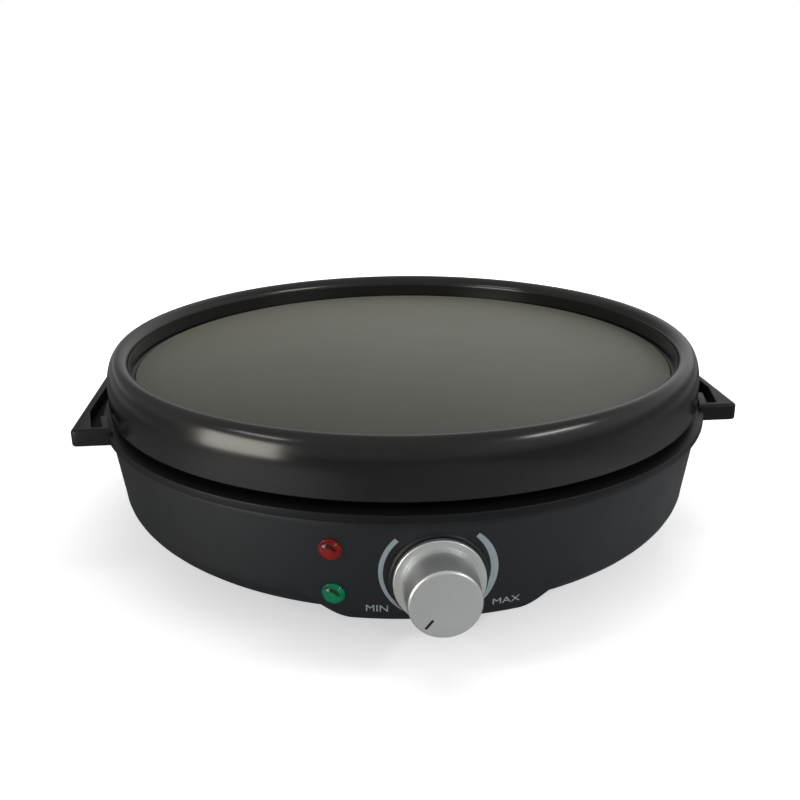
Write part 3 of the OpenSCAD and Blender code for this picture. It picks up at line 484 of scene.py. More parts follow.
def finish(name, colour, deep, rough, grain, relief, drift=40.0, metal=0.0, gloss=0.5,
           highlight_tone=None, highlight_width=0.5, fleck=None, coat=0.0, coat_rough=0.1, sheen=None):
    """A material whose colour drifts between two tones, with grain, a painted highlight on convex
    edges and flecks.
    """
    material = bpy.data.materials.new(name)
    material.use_nodes = True
    material.diffuse_color = (*colour, 1.0)
    tree = material.node_tree
    shader = tree.nodes["Principled BSDF"]
    surface = use_effect(tree, GRAIN, Grain=grain, Drift=drift)
    tone = blend_colours(tree, spread(tree, surface.outputs["Mottle"], 0.0, 1.0), colour, deep)
    if fleck:
        specks = use_effect(tree, FLECK, Size=fleck[0], Share=fleck[1])
        tone = blend_colours(tree, specks.outputs["Mask"], tone, fleck[2])
    # Painted highlight: convex edges take a lighter tone.
    if highlight_tone:
        edges = use_effect(tree, EDGE_HIGHLIGHT, Width=highlight_width)
        tone = blend_colours(tree, edges.outputs["Mask"], tone, highlight_tone)
    tree.links.new(tone, shader.inputs["Base Color"])
    tree.links.new(spread(tree, surface.outputs["Mottle"], *rough), shader.inputs["Roughness"])
    bump = tree.nodes.new("ShaderNodeBump")
    bump.inputs["Strength"].default_value = 1.0
    bump.inputs["Distance"].default_value = relief * MM
    tree.links.new(surface.outputs["Height"], bump.inputs["Height"])
    tree.links.new(bump.outputs["Normal"], shader.inputs["Normal"])
    shader.inputs["Metallic"].default_value = metal
    shader.inputs["Specular IOR Level"].default_value = gloss
    shader.inputs["Coat Weight"].default_value = coat
    shader.inputs["Coat Roughness"].default_value = coat_rough
    if sheen:
        shader.inputs["Sheen Weight"].default_value = 1.0
        shader.inputs["Sheen Roughness"].default_value = sheen[0]
        shader.inputs["Sheen Tint"].default_value = (*sheen[1], 1.0)
    return material


def wall_at(z):
    """Radius of the straight wall, carried on below its bend."""
    return BEND_R + (SHELL_R - BEND_R) * (z - BEND_Z) / (RING_LOW - BEND_Z)


def lamp_middle(z):
    """The middle of a lamp on the wall."""
    turn = math.radians(-90 - LAMP_ANGLE)
    return (wall_at(z) * math.cos(turn), wall_at(z) * math.sin(turn), z)


def lens_finish(name, heart, rim, middle):
    """Coloured plastic with a painted glow towards its edges, where it turns from the view, and a
    painted shade crescent for the dark socket behind it.
    """
    material = finish(name, heart, rim, (0.06, 0.12), 0.9, 0.01, drift=4.0, gloss=0.04,
                      coat=0.6, coat_rough=0.03)
    tree = material.node_tree
    shader = tree.nodes["Principled BSDF"]
    # Painted glow: the rim tone is laid on where the lens surface turns from the view.
    facing = tree.nodes.new("ShaderNodeLayerWeight")
    facing.inputs["Blend"].default_value = 0.35
    body = shader.inputs["Base Color"].links[0].from_socket
    tone = blend_colours(tree, facing.outputs["Facing"], body, rim)
    coordinates = tree.nodes.new("ShaderNodeTexCoord")
    turn = math.radians(-90 - LAMP_ANGLE)
    spots = []
    for along in ((-math.sin(turn), math.cos(turn), 0.0), (0.0, 0.0, 1.0)):
        reach = tree.nodes.new("ShaderNodeVectorMath")
        reach.operation = "DOT_PRODUCT"
        reach.inputs[1].default_value = along
        tree.links.new(coordinates.outputs["Object"], reach.inputs[0])
        centre = (Vector(middle).dot(Vector(along)) + SOCKET_SHIFT) * MM
        spots.append(reckon(tree, "SUBTRACT", reach.outputs["Value"], centre))
    flat = tree.nodes.new("ShaderNodeCombineXYZ")
    for spot, axis in zip(spots, "XY"):
        tree.links.new(spot, flat.inputs[axis])
    apart = tree.nodes.new("ShaderNodeVectorMath")
    apart.operation = "LENGTH"
    tree.links.new(flat.outputs[0], apart.inputs[0])
    inner, outer, upper = (tuple(MM * reach for reach in span)
                           for span in (SOCKET_INNER, SOCKET_OUTER, SOCKET_UPPER))
    inner = graded(tree, apart.outputs["Value"], *inner, 0.0, 1.0)
    outer = graded(tree, apart.outputs["Value"], *outer, 1.0, 0.0)
    leaning = reckon(tree, "ADD", reckon(tree, "MULTIPLY", spots[0], SOCKET_LEAN), spots[1])
    upper = graded(tree, leaning, *upper, 0.0, 1.0)
    # Painted shade: a dark crescent where the socket would show through the lens.
    painted_socket_shade = reckon(tree, "MULTIPLY", reckon(tree, "MULTIPLY", inner, outer), upper)
    tone = blend_colours(tree, painted_socket_shade, tone, tuple(SOCKET_SHADE * c for c in heart))
    tree.links.new(tone, shader.inputs["Base Color"])
    return material


# The lighter edge tone in each finish is a painted highlight on convex edges.
FINISHES = {
    "cooking_face": finish(
        "cooking_face", (0.011, 0.0115, 0.009), (0.009, 0.0095, 0.0075), (0.40, 0.46), 0.7, 0.003,
        drift=60.0, gloss=0.2, sheen=(0.4, (0.60, 0.60, 0.505))),
    "plate_coating": finish(
        "plate_coating", (0.0085, 0.0083, 0.0076), (0.0065, 0.0063, 0.0058), (0.17, 0.22),
        0.7, 0.003, drift=60.0, highlight_tone=(0.02, 0.019, 0.018), highlight_width=0.6,
        fleck=(0.40, 0.04, (0.022, 0.021, 0.020))),
    "base_plastic": finish(
        "base_plastic", (0.0115, 0.0140, 0.0175), (0.0100, 0.0122, 0.0155), (0.42, 0.52),
        0.55, 0.03, gloss=0.45, highlight_tone=(0.032, 0.034, 0.037), highlight_width=0.6),
    "handle_plastic": finish(
        "handle_plastic", (0.009, 0.009, 0.0095), (0.007, 0.007, 0.0075), (0.36, 0.46), 0.8, 0.012,
        gloss=0.25, highlight_tone=(0.022, 0.022, 0.023), highlight_width=0.5),
    # A lighter copy of the handle plastic for the pocket floors: painted light in the pockets'
    # shade.
    "pocket_plastic_painted_light": finish(
        "pocket_plastic_painted_light", (0.018, 0.018, 0.019), (0.014, 0.014, 0.015), (0.6, 0.7), 0.6, 0.02,
        gloss=0.1),
    # The slight green in the knob metal's tones is a painted reflection.
    "knob_metal": finish(
        "knob_metal", (0.80, 0.82, 0.81), (0.76, 0.78, 0.77), (0.32, 0.40), 0.22, 0.008,
        drift=14.0, metal=0.88, highlight_tone=(0.84, 0.85, 0.85), highlight_width=0.4),
    "black_plastic": finish(
        "black_plastic", (0.010, 0.010, 0.010), (0.007, 0.007, 0.007), (0.4, 0.5), 0.6, 0.015,
        highlight_tone=(0.03, 0.03, 0.03)),
    "white_plastic": finish(
        "white_plastic", (0.76, 0.75, 0.70), (0.70, 0.69, 0.63), (0.35, 0.45), 0.6, 0.01,
        highlight_tone=(0.82, 0.81, 0.78)),
    "rubber": finish(
        "rubber", (0.016, 0.016, 0.016), (0.024, 0.023, 0.022), (0.7, 0.85), 0.4, 0.03, drift=9.0,
        gloss=0.3, highlight_tone=(0.04, 0.038, 0.036)),
    "steel": finish(
        "steel", (0.52, 0.52, 0.50), (0.44, 0.44, 0.43), (0.28, 0.42), 0.5, 0.01, drift=16.0,
        metal=1.0, highlight_tone=(0.68, 0.68, 0.66)),
    "reflector_metal": finish(
        "reflector_metal", (0.66, 0.66, 0.65), (0.58, 0.58, 0.57), (0.22, 0.34), 1.2, 0.02,
        drift=30.0, metal=1.0, highlight_tone=(0.78, 0.78, 0.77)),
    "ceramic": finish(
        "ceramic", (0.80, 0.78, 0.72), (0.74, 0.71, 0.64), (0.55, 0.7), 0.5, 0.03, drift=5.0,
        highlight_tone=(0.86, 0.85, 0.80)),
    "brass": finish(
        "brass", (0.66, 0.52, 0.26), (0.58, 0.44, 0.20), (0.28, 0.4), 0.4, 0.01, drift=8.0,
        metal=1.0, highlight_tone=(0.78, 0.65, 0.38)),
    "copper": finish(
        "copper", (0.70, 0.38, 0.24), (0.56, 0.28, 0.17), (0.28, 0.42), 0.5, 0.01, drift=12.0,
        metal=1.0, highlight_tone=(0.80, 0.50, 0.34)),
    "red_lens": lens_finish(
        "red_lens", (0.19, 0.004, 0.003), (0.36, 0.014, 0.011), lamp_middle(LAMP_HIGH)),
    "green_lens": lens_finish(
        "green_lens", (0.0002, 0.17, 0.068), (0.002, 0.30, 0.14), lamp_middle(LAMP_LOW)),
    "lamp_glass": finish(
        "lamp_glass", (0.85, 0.72, 0.60), (0.80, 0.62, 0.50), (0.05, 0.12), 1.0, 0.005, drift=4.0,
        coat=1.0, coat_rough=0.03),
    "pointer_black": finish(
        "pointer_black", (0.006, 0.006, 0.006), (0.010, 0.010, 0.010), (0.35, 0.5), 0.3, 0.01,
        drift=3.0),
    "panel_print": finish(
        "panel_print", (0.42, 0.49, 0.52), (0.38, 0.45, 0.48), (0.45, 0.55), 0.35, 0.012,
        drift=6.0),
}
for sleeve, tone in (("sleeve_white", (0.76, 0.75, 0.70)), ("sleeve_brown", (0.20, 0.09, 0.04)),
                     ("sleeve_blue", (0.04, 0.11, 0.38)), ("sleeve_green", (0.14, 0.36, 0.08)),
                     ("sleeve_red", (0.42, 0.05, 0.04))):
    FINISHES[sleeve] = finish(
        sleeve, tone, tuple(0.8 * c for c in tone), (0.4, 0.55), 0.4, 0.02, drift=10.0)


# ------------------------------------------------------------ shapes

def rounded(corners, steps=5):
    """A closed outline with each corner (x, y, radius) rounded."""
    outline = []
    count = len(corners)
    for i, (x, y, radius) in enumerate(corners):
        here = Vector((x, y))
        if not radius:
            outline.append(here)
            continue
        before = (Vector(corners[i - 1][:2]) - here).normalized()
        after = (Vector(corners[(i + 1) % count][:2]) - here).normalized()
        half = before.angle(after) / 2
        centre = here + (before + after).normalized() * radius / math.sin(half)
        first = here + before * radius / math.tan(half) - centre
        last = here + after * radius / math.tan(half) - centre
        start = math.atan2(first.y, first.x)
        turn = (math.atan2(last.y, last.x) - start + math.pi) % (2 * math.pi) - math.pi
        for k in range(steps + 1):
            angle = start + turn * k / steps
            outline.append(centre + radius * Vector((math.cos(angle), math.sin(angle))))
    return outline


def bow(centre, reach, start, end, count):
    """Corners along an ellipse's arc, in degrees."""
    angles = [math.radians(start + (end - start) * k / count) for k in range(count + 1)]
    return [(centre[0] + reach[0] * math.cos(a), centre[1] + reach[1] * math.sin(a), 0)
            for a in angles]


def turned(outline, place=None, around=180, ribs=None):
    """Points and faces of a closed outline of (radius, height) turned about an axis.

    ribs is (count, depth, low, high): the radius dips count times between two heights.
    """
    place = place or Matrix.Identity(4)
    points, faces, rows = [], [], []
    for radius, height in outline:
        row = []
        spots = around if radius > 1e-6 else 1
        for k in range(spots):
            angle = 2 * math.pi * k / around
            reach = radius
            if ribs and ribs[2] <= height <= ribs[3]:
                reach -= ribs[1] * (0.5 - 0.5 * math.cos(ribs[0] * angle))
            row.append(len(points))
            spot = Vector((reach * math.cos(angle), reach * math.sin(angle), height))
            points.append(place @ spot)
        rows.append(row)
    for i, row in enumerate(rows):
        above = rows[(i + 1) % len(rows)]
        for k in range(around):
            a, b = row[k % len(row)], row[(k + 1) % len(row)]
            c, d = above[(k + 1) % len(above)], above[k % len(above)]
            face = list(dict.fromkeys((a, b, c, d)))
            if len(face) > 2:
                faces.append(face)
    return points, faces


def swept(stations, closed):
    """Points and faces of a solid through equal loops of points, end to end or capped."""
    points = [Vector(p) for loop in stations for p in loop]
    size = len(stations[0])
    faces = []
    last = len(stations) if closed else len(stations) - 1
    for i in range(last):
        near, far = i * size, (i + 1) % len(stations) * size
        for k in range(size):
            step = (k + 1) % size
            faces.append((near + k, near + step, far + step, far + k))
    if not closed:
        faces.append(tuple(range(size)))
        faces.append(tuple(range(len(points) - size, len(points)))[::-1])
    return points, faces


def put_together(name, parts, slot, material=None, body="base", sharp=40.0):
    """A named piece from several closed parts, smooth between its sharp edges."""
    points, faces = [], []
    for part_points, part_faces in parts:
        first = len(points)
        points += [Vector(p) * MM for p in part_points]
        faces += [[first + i for i in face] for face in part_faces]
    mesh = bpy.data.meshes.new(name)
    mesh.from_pydata(points, [], faces)
    build = bmesh.new()
    build.from_mesh(mesh)
    bmesh.ops.remove_doubles(build, verts=build.verts, dist=1e-7)
    bmesh.ops.recalc_face_normals(build, faces=build.faces)
    build.to_mesh(mesh)
    build.free()
    mesh.shade_smooth()
    mesh.set_sharp_from_angle(angle=math.radians(sharp))
    mesh.materials.append(material or FINISHES[slot])
    piece = bpy.data.objects.new(name, mesh)
    bpy.context.scene.collection.objects.link(piece)
    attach(piece, body)
    return piece


# ------------------------------------------------------------ griddle plate

def plate_boss(ring, turn, radius, low):
    """A round boss under the plate, at a turn in degrees on a ring."""
    stand = Matrix.Translation(
        (ring * math.cos(math.radians(turn)), ring * math.sin(math.radians(turn)), 0))
    top = PLATE_BACK_Z + 0.5
    shape = rounded([(0, low, 0), (radius, low, 0.4), (radius, top, 0), (0, top, 0)])
    return turned(shape, stand, around=32)


def griddle_casting():
    """The cast plate: flat disc, gutter, round rim and deep skirt, with the bosses below."""
    outline = rounded(
        [(0, SURFACE_Z, 0), (COOK_R, SURFACE_Z, 0.8), (COOK_R + 0.5, SURFACE_Z - GUTTER_DIP, 0.5),
         (GUTTER_R - 0.1, SURFACE_Z - GUTTER_DIP, 0.5)]
        + bow((CREST_R, SURFACE_Z + INNER_RISE), (CREST_R - GUTTER_R, INNER_RISE), 180, 90, 14)
        + bow((CREST_R, CREST_Z - OUTER_DROP), (PLATE_R - CREST_R, OUTER_DROP), 86, 0, 20)
        + [(PLATE_R, SKIRT_Z, 1.0), (SKIRT_IN_R, SKIRT_Z, 0.6),
           (SKIRT_IN_R, PLATE_BACK_Z - SKIRT_FILLET, 1.0),
           (SKIRT_IN_R - SKIRT_FILLET, PLATE_BACK_Z, 1.0), (0, PLATE_BACK_Z, 0)])
    parts = [turned(outline, around=240)]
    for turn in (45, 135, 225, 315):
        parts.append(plate_boss(POST_RING_R, turn, POST_BOSS_R, POST_BOSS_LOW))
    for turn in (30, 150, 270):
        for ring in CLAMP_RINGS:
            parts.append(plate_boss(ring, turn, CLAMP_BOSS_R, CLAMP_BOSS_LOW))
    piece = put_together("griddle_casting", parts, "plate_coating")
    piece.data.materials.append(FINISHES["cooking_face"])
    for face in piece.data.polygons:
        low = min(piece.data.vertices[i].co.z for i in face.vertices)
        if low > (SURFACE_Z - 0.01) * MM and face.normal.z > 0.999:
            face.material_index = 1
    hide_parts("griddle_plate")


# ------------------------------------------------------------ base shell

def panel_edge(x):
    """Height of the control panel's lower edge, which rises to the bend at both ends."""
    share = min(max((PANEL_HALF + PANEL_BLEND - abs(x)) / PANEL_BLEND, 0.0), 1.0)
    return BEND_Z - (BEND_Z - PANEL_Z) * (1 - math.cos(math.pi * share)) / 2


def shell_column(turn):
    """The shell's closed outline at one turn, as (radius, height)."""
    edge = BEND_Z
    if math.sin(turn) < 0:
        for _ in range(4):
            edge = panel_edge(wall_at(edge) * math.cos(turn))
    depth = BEND_Z - FOOT_H
    curve_in = BEND_R - FLOOR_R
    end = math.asin((edge - BEND_Z) / depth)
    column = [(FLOOR_HOLE_R, FOOT_H), (FLOOR_HOLE_R + 9, FOOT_H), (FLOOR_R - 12, FOOT_H)]
    for k in range(17):
        angle = -math.pi / 2 + (end + math.pi / 2) * k / 16
        column.append((FLOOR_R + curve_in * math.cos(angle), BEND_Z + depth * math.sin(angle)))
    inner = column[-1][0]
    soft = min(LEDGE_ROUND, 0.5 * (wall_at(edge) - inner))
    column.append((inner + 0.35 * (wall_at(edge) - soft - inner), edge))
    for k in range(7):
        angle = -math.pi / 2 + math.pi / 2 * k / 6
        column.append((wall_at(edge + soft) - soft + soft * math.cos(angle),
                       edge + soft + soft * math.sin(angle)))
    for k in range(1, 13):
        z = edge + soft + (RING_LOW - LIP_STEP - edge - soft) * k / 12
        column.append((wall_at(z), z))
    column += [(SHELL_R - LIP_STEP, RING_LOW), (SHELL_R - WALL_T, RING_LOW),
               (BEND_R - WALL_T, BEND_Z)]
    for k in range(1, 9):
        angle = -math.pi / 2 * k / 8
        column.append((FLOOR_R + (curve_in - WALL_T) * math.cos(angle),
                       BEND_Z + (BEND_Z - FLOOR_IN_Z) * math.sin(angle)))
    column.append((FLOOR_HOLE_R, FLOOR_IN_Z))
    return column


def knob_place():
    """The knob's axis: its local Z points out of the panel."""
    return Matrix.Translation((0, 0, KNOB_Z)) @ Matrix.Rotation(math.pi / 2, 4, "X")


def gland_place():
    """The cord gland's axis: its local Z points out of the rear wall."""
    return Matrix.Translation((0, 0, GLAND_Z)) @ Matrix.Rotation(-math.pi / 2, 4, "X")


def shell_moulding():
    """The base shell with its panel, knob boss and cord inlet, finest across the panel."""
    turns = [2 * math.pi * k / 300 for k in range(300)]
    turns += [math.radians(-117 + 54 * k / 140) + 2 * math.pi for k in range(1, 140)]
    turns = sorted(set(round(t, 6) for t in turns))
    stations = [[(r * math.cos(t), r * math.sin(t), z) for r, z in shell_column(t)]
                for t in turns]
    boss = turned(
        rounded([(0, BOSS_D - BOSS_ROOT, 0), (BOSS_R, BOSS_D - BOSS_ROOT, 0),
                 (BOSS_R, BOSS_D, 1.3), (BOSS_BORE, BOSS_D, 0.3), (BOSS_BORE, BOSS_D - 1, 0),
                 (0, BOSS_D - 1, 0)]), knob_place(), around=120)
    inlet = turned(
        rounded([(INLET_BORE, GLAND_FACE - BOSS_ROOT, 0), (INLET_R, GLAND_FACE - BOSS_ROOT, 0),
                 (INLET_R, GLAND_FACE, 0.6), (INLET_BORE, GLAND_FACE, 0.3)]),
        gland_place(), around=72)
    piece = put_together("shell_moulding", [swept(stations, True), boss, inlet], "base_plastic",
                         sharp=50.0)
    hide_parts("base_shell")


# ------------------------------------------------------------ handle ring

def on_arc(radius, start, end, count):
    """Corners along an arc round the plate's axis, in degrees."""
    angles = [math.radians(start + (end - start) * k / count) for k in range(count + 1)]
    return [(radius * math.cos(a), radius * math.sin(a), 0) for a in angles]


def spaced(first, last, count):
    """Corners between two points, without the points themselves."""
    return [(first[0] + (last[0] - first[0]) * k / count,
             first[1] + (last[1] - first[1]) * k / count, 0) for k in range(1, count)]


def outward(loop):
    """Unit normals that point out of a loop drawn anticlockwise."""
    normals = []
    for k in range(len(loop)):
        before = (loop[k] - loop[k - 1]).normalized()
        after = (loop[(k + 1) % len(loop)] - loop[k]).normalized()
        along = (before + after).normalized()
        reach = 1 / max(along.dot(before), 0.5)
        normals.append(Vector((along.y, -along.x)) * reach)
    return normals


def arc_corner(radius, turn, soft):
    """A corner of a plan at a turn in degrees on a circle about the axis."""
    return (radius * math.cos(math.radians(turn)), radius * math.sin(math.radians(turn)), soft)


def handle_plan():
    """The handle seen from above: straight outside, with its pocket open to the ring."""
    root = math.degrees(math.asin(HANDLE_HALF / HANDLE_IN_R))
    tip = math.degrees(math.asin(POCKET_HALF / LAND_R))
    low = (HANDLE_X, -HANDLE_HALF)
    high = (HANDLE_X, HANDLE_HALF)
    inner = HANDLE_IN_R * math.cos(math.radians(root))
    corners = [(inner, -HANDLE_HALF, 0.4), *spaced((inner, -HANDLE_HALF), low, 3),
               (*low, CORNER_R), *spaced(low, high, 12), (*high, CORNER_R),
               *spaced(high, (inner, HANDLE_HALF), 3), (inner, HANDLE_HALF, 0.4)]
    corners += on_arc(HANDLE_IN_R, root, LAND_TURN, 6)[1:-1]
    corners += [arc_corner(HANDLE_IN_R, LAND_TURN, 0.4), arc_corner(LAND_R, LAND_TURN, 0.8)]
    corners += on_arc(LAND_R, LAND_TURN, tip, 6)[1:-1]
    corners += [arc_corner(LAND_R, tip, 0.5), (POCKET_END_X, POCKET_HALF, 1.0),
                (POCKET_X, POCKET_MID, 4.0),
                *spaced((POCKET_X, POCKET_MID), (POCKET_X, -POCKET_MID), 6),
                (POCKET_X, -POCKET_MID, 4.0), (POCKET_END_X, -POCKET_HALF, 1.0),
                arc_corner(LAND_R, -tip, 0.5)]
    corners += on_arc(LAND_R, -tip, -LAND_TURN, 6)[1:-1]
    corners += [arc_corner(LAND_R, -LAND_TURN, 0.8), arc_corner(HANDLE_IN_R, -LAND_TURN, 0.4)]
    corners += on_arc(HANDLE_IN_R, -LAND_TURN, -root, 6)[1:-1]
    return rounded(corners, 5)


def handle_block(side):
    """One handle with rounded edges, lofted up through insets of its plan."""
    plan = handle_plan()
    out = outward(plan)
    inner = [p.length < HANDLE_IN_R + 0.2 for p in plan]
    pocket = [abs(p.y) < POCKET_HALF + 0.1 and p.x < POCKET_X + 0.1 for p in plan]
    over = [SEAT_ROUND if inner[k] else POCKET_ROUND if pocket[k] else ROUND_OVER
            for k in range(len(plan))]
    under = [0.0 if inner[k] or pocket[k] else ROUND_UNDER for k in range(len(plan))]
    levels = [(top, share / 4) for top in (0, 1) for share in range(5)]
    stations = []
    for top, share in levels:
        loop = []
        for k, point in enumerate(plan):
            radius = over[k] if top else under[k]
            turn = math.pi / 2 * (share if top else 1 - share)
            inset = radius * (1 - math.cos(turn))
            lift = radius * (1 - math.sin(turn))
            spot = point - out[k] * inset
            height = HANDLE_TOP - lift if top else HANDLE_LOW + lift
            loop.append((side * spot.x, side * spot.y, height))
        stations.append(loop)
    return swept(stations, False)


def pocket_floor(side):
    """The floor of one handle's pocket, let a little way into the walls around it."""
    tip = math.degrees(math.asin((POCKET_HALF + 0.4) / (HANDLE_IN_R + 0.1)))
    loop = on_arc(HANDLE_IN_R + 0.1, tip, -tip, 24)
    loop += [(POCKET_END_X + 0.5, -POCKET_HALF - 0.4, 0), (POCKET_X + 0.4, -POCKET_MID, 0),
             (POCKET_X + 0.4, POCKET_MID, 0), (POCKET_END_X + 0.5, POCKET_HALF + 0.4, 0)]
    return swept([[(side * x, side * y, z) for x, y, _ in loop]
                  for z in (HANDLE_LOW + 0.15, RING_LOW)], False)


def ring_moulding():
    """The ring under the plate's skirt with both handles, and the floors of their pockets."""
    band = turned(
        rounded([(SEAT_R, RING_LOW, 0.4), (RING_R, RING_LOW, 0.5), (RING_R, RING_TOP, 0.5),
                 (LIP_R, RING_TOP, 0.6), (LIP_R, LIP_Z, 0.5), (SEAT_R, LIP_Z, 0.5)]), around=240)
    piece = put_together("ring_moulding", [band, handle_block(1), handle_block(-1)],
                         "handle_plastic", sharp=50.0)
    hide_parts("handle_ring")
    # The pocket floors take painted light, a lighter copy of the handle plastic.
    put_together("handle_pockets", [pocket_floor(1), pocket_floor(-1)], "handle_plastic",
                 FINISHES["pocket_plastic_painted_light"])


# ------------------------------------------------------------ heat control

def knob_skin():
    """The metal skin of the knob: a flange, a groove, the tapered grip and a thick face."""
    step = KNOB_BACK + FLANGE_T
    groove = KNOB_BACK + GROOVE_T
    bore = FACE_R - SKIN_T
    inside = KNOB_FACE - FACE_T
    outline = rounded(
        [(bore, KNOB_BACK, 0.3), (FLANGE_R, KNOB_BACK, 0.6), (FLANGE_R, step, 0.7),
         (GROOVE_R + 0.3, step, 0.2), (GROOVE_R, groove, 0.15), (GRIP_R, groove, 0.2),
         (FACE_R, KNOB_FACE, 1.5), (0, KNOB_FACE, 0), (0, inside, 0), (bore, inside, 0)], steps=7)
    piece = put_together("knob_skin", [turned(outline, knob_place(), around=160)], "knob_metal",
                         body="knob")
    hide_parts("knob_shell")


def knob_mark():
    """The black pointer set into the knob's face."""
    start, end = POINTER_REACH
    half = POINTER_HALF
    turn = Matrix.Rotation(math.radians(POINTER_ANGLE), 4, "Z")
    loop = rounded([(start, -half, 0.35), (end, -half, 0.35), (end, half, 0.35),
                    (start, half, 0.35)], 4)
    middle = Vector(((start + end) / 2, 0))
    stations = []
    for shrink, z in ((1.0, KNOB_FACE - 0.6), (1.0, KNOB_FACE + 0.02), (0.96, KNOB_FACE + 0.05)):
        ring = [middle + (p - middle) * shrink for p in loop]
        stations.append([knob_place() @ turn @ Vector((*p, z)) for p in ring])
    piece = put_together("knob_mark", [swept(stations, False)], "black_plastic",
                         FINISHES["pointer_black"], body="knob")
    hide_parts("knob_pointer")


# ------------------------------------------------------------ lamps

def lamp_lens(name, z, slot):
    """A hollow lamp lens: a collar on the wall, a low dome and a neck through the wall."""
    tilt = math.atan((SHELL_R - BEND_R) / (RING_LOW - BEND_Z))
    place = (Matrix.Rotation(math.radians(-90 - LAMP_ANGLE), 4, "Z")
             @ Matrix.Translation((wall_at(z), 0, z))
             @ Matrix.Rotation(math.pi / 2 + tilt, 4, "Y"))
    outline = rounded(
        [(0, -1.5, 0), (LENS_BORE_R, -1.5, 0), (LENS_BORE_R, -LENS_DEPTH, 0),
         (LENS_NECK_R, -LENS_DEPTH, 0), (LENS_NECK_R, -0.4, 0), (LENS_R, -0.4, 0),
         (LENS_R, 0.75, 0.3), (DOME_R + 0.15, 0.8, 0)]
        + bow((0, 0.8), (DOME_R, DOME_RISE), 4, 90, 12)[:-1] + [(0, 0.8 + DOME_RISE, 0)])
    piece = put_together(name, [turned(outline, place, around=72)], slot, sharp=32.0)
    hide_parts(slot)


# ------------------------------------------------------------ print on the panel

def on_panel(x, z, proud):
    """The point of the panel's wall at x and z, lifted by proud."""
    return (x, -math.sqrt((wall_at(z) + proud) ** 2 - x ** 2), z)


def dial_arc(name, centre, radius, start, end, widths):
    """A printed arc beside the knob whose width goes through three values."""
    first, middle, last = widths
    across = [-0.5, -0.17, 0.17, 0.5]
    stations = []
    count = 60
    for k in range(count + 1):
        share = k / count
        angle = math.radians(start + (end - start) * share)
        width = (first * (1 - share) * (1 - 2 * share) + 4 * middle * share * (1 - share)
                 + last * share * (2 * share - 1))
        loop = []
        for lift, order in ((PRINT_PROUD, across), (PRINT_ROOT, across[::-1])):
            for side in order:
                reach = radius + side * width
                loop.append(on_panel(centre[0] + reach * math.cos(angle),
                                     centre[1] + reach * math.sin(angle), lift))
        stations.append(loop)
    put_together(name, [swept(stations, False)], "black_plastic", FINISHES["panel_print"])


def dial_word(name, words, low, high):
    """A printed word that fills the box from low to high (x, z) on the panel."""
    text = bpy.data.curves.new(name, "FONT")
    text.body = words
    text.size = 1.0
    text.extrude = 0.05
    text.resolution_u = 8
    flat = bpy.data.objects.new(name, text)
    bpy.context.scene.collection.objects.link(flat)
    bpy.context.view_layer.update()
    drawn = flat.evaluated_get(bpy.context.evaluated_depsgraph_get())
    mesh = bpy.data.meshes.new_from_object(drawn)
    bpy.data.objects.remove(flat)
    xs = [v.co.x for v in mesh.vertices]
    ys = [v.co.y for v in mesh.vertices]
    points = []
    for vertex in mesh.vertices:
        x = low[0] + (vertex.co.x - min(xs)) / (max(xs) - min(xs)) * (high[0] - low[0])
        z = low[1] + (vertex.co.y - min(ys)) / (max(ys) - min(ys)) * (high[1] - low[1])
        points.append(on_panel(x, z, PRINT_PROUD if vertex.co.z > 0 else PRINT_ROOT))
    faces = [tuple(face.vertices) for face in mesh.polygons]
    put_together(name, [(points, faces)], "black_plastic", FINISHES["panel_print"])


# ------------------------------------------------------------ feet and cord gland

def rubber_foot(node):
    """A round rubber foot with a hollow sole and a barbed plug through the shell's floor."""
    low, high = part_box(node)
    middle = Matrix.Translation(
        ((low[0] + high[0]) / 2 / MM, (low[1] + high[1]) / 2 / MM, 0))
    outline = rounded(
        [(0, 1.2, 0), (5.0, 1.2, 0.3), (6.2, 0, 0.4), (FOOT_R - 0.8, 0, 0.9), (FOOT_R, 2.0, 0.6),
         (FOOT_R, FOOT_H, 0.3), (FOOT_PLUG_R, FOOT_H, 0), (FOOT_PLUG_R, 10.1, 0),
         (FOOT_BARB_R, 10.1, 0.2), (FOOT_BARB_R, 11.0, 0.4), (3.0, 12.5, 0.4), (0, 12.5, 0)])
    piece = put_together(node.replace("foot", "rubber_foot"),
                         [turned(outline, middle, around=64)], "rubber")
    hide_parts(node)


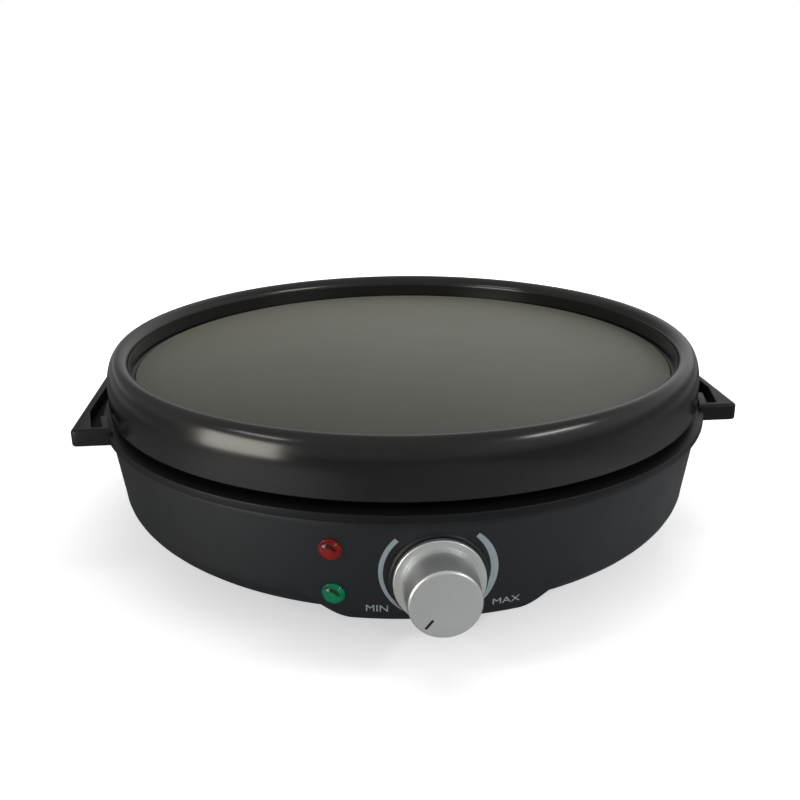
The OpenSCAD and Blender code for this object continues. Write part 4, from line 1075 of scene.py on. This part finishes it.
def ribbed_cap():
    """The cord gland's cap, ribbed for the fingers and tapered towards the cord."""
    outline = rounded(
        [(CAP_BORE, CAP_BACK, 0.2), (CAP_R, CAP_BACK, 0.5), (CAP_R, CAP_BACK + 8, 0.8),
         (CAP_R - 1, CAP_BACK + 10.5, 0.8), (6.8, CAP_FACE, 0.6), (CAP_BORE, CAP_FACE, 0.2)])
    ribs = (RIB_COUNT, RIB_DEPTH, CAP_BACK + 0.6, CAP_BACK + 7.6)
    piece = put_together(
        "ribbed_cap", [turned(outline, gland_place(), around=180, ribs=ribs)], "black_plastic")
    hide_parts("gland_cap")


# ------------------------------------------------------------ the whole

bpy.context.scene.view_settings.view_transform = "Standard"
place_camera()
white_room()
pale_floor()
softbox("top_softbox", (0.0, 0.1, 1.6), (0, 0, 0.05), (1.3, 0.35), 6.0, mirrored=False)
softbox("back_window", (0.30, 0.62, 0.50), (0, 0, 0.09), (0.5, 0.3), 1.5, mirrored=False)
softbox("left_panel", (-0.465, -0.320, 0.120), (-0.09, -0.13, 0.106), (0.27, 0.21), 1.2,
        (1.0, 0.96, 0.87), spread=False)
softbox("left_strip", (-0.81, -0.515, 0.66), (-0.09, -0.13, 0.09), (0.35, 0.07), 0.7)
softbox("right_strip", (0.90, -0.70, 0.77), (0.08, -0.13, 0.09), (0.5, 0.10), 2.6)

griddle_casting()
shell_moulding()
ring_moulding()
knob_skin()
knob_mark()
lamp_lens("red_lamp_lens", LAMP_HIGH, "red_lens")
lamp_lens("green_lamp_lens", LAMP_LOW, "green_lens")
dial_arc("dial_arc_low", (-0.3, 40.9), 24.1, 136, 236, (2.2, 1.9, 1.1))
dial_arc("dial_arc_high", (-0.6, 40.1), 24.9, 47.5, -38, (2.1, 3.3, 2.3))
dial_word("dial_word_min", "MIN", (-30.7, 20.4), (-21.3, 23.8))
dial_word("dial_word_max", "MAX", (24.4, 20.7), (36.9, 23.8))
for foot in ("foot_front_left", "foot_front_right", "foot_rear_left", "foot_rear_right"):
    rubber_foot(foot)
ribbed_cap()

slots = {row["node"]: row["material_slot"] for row in frame["record"]["subparts"]}
for node, cad_piece in frame["nodes"].items():
    cad_piece.data.materials.clear()
    cad_piece.data.materials.append(FINISHES[slots[node]])
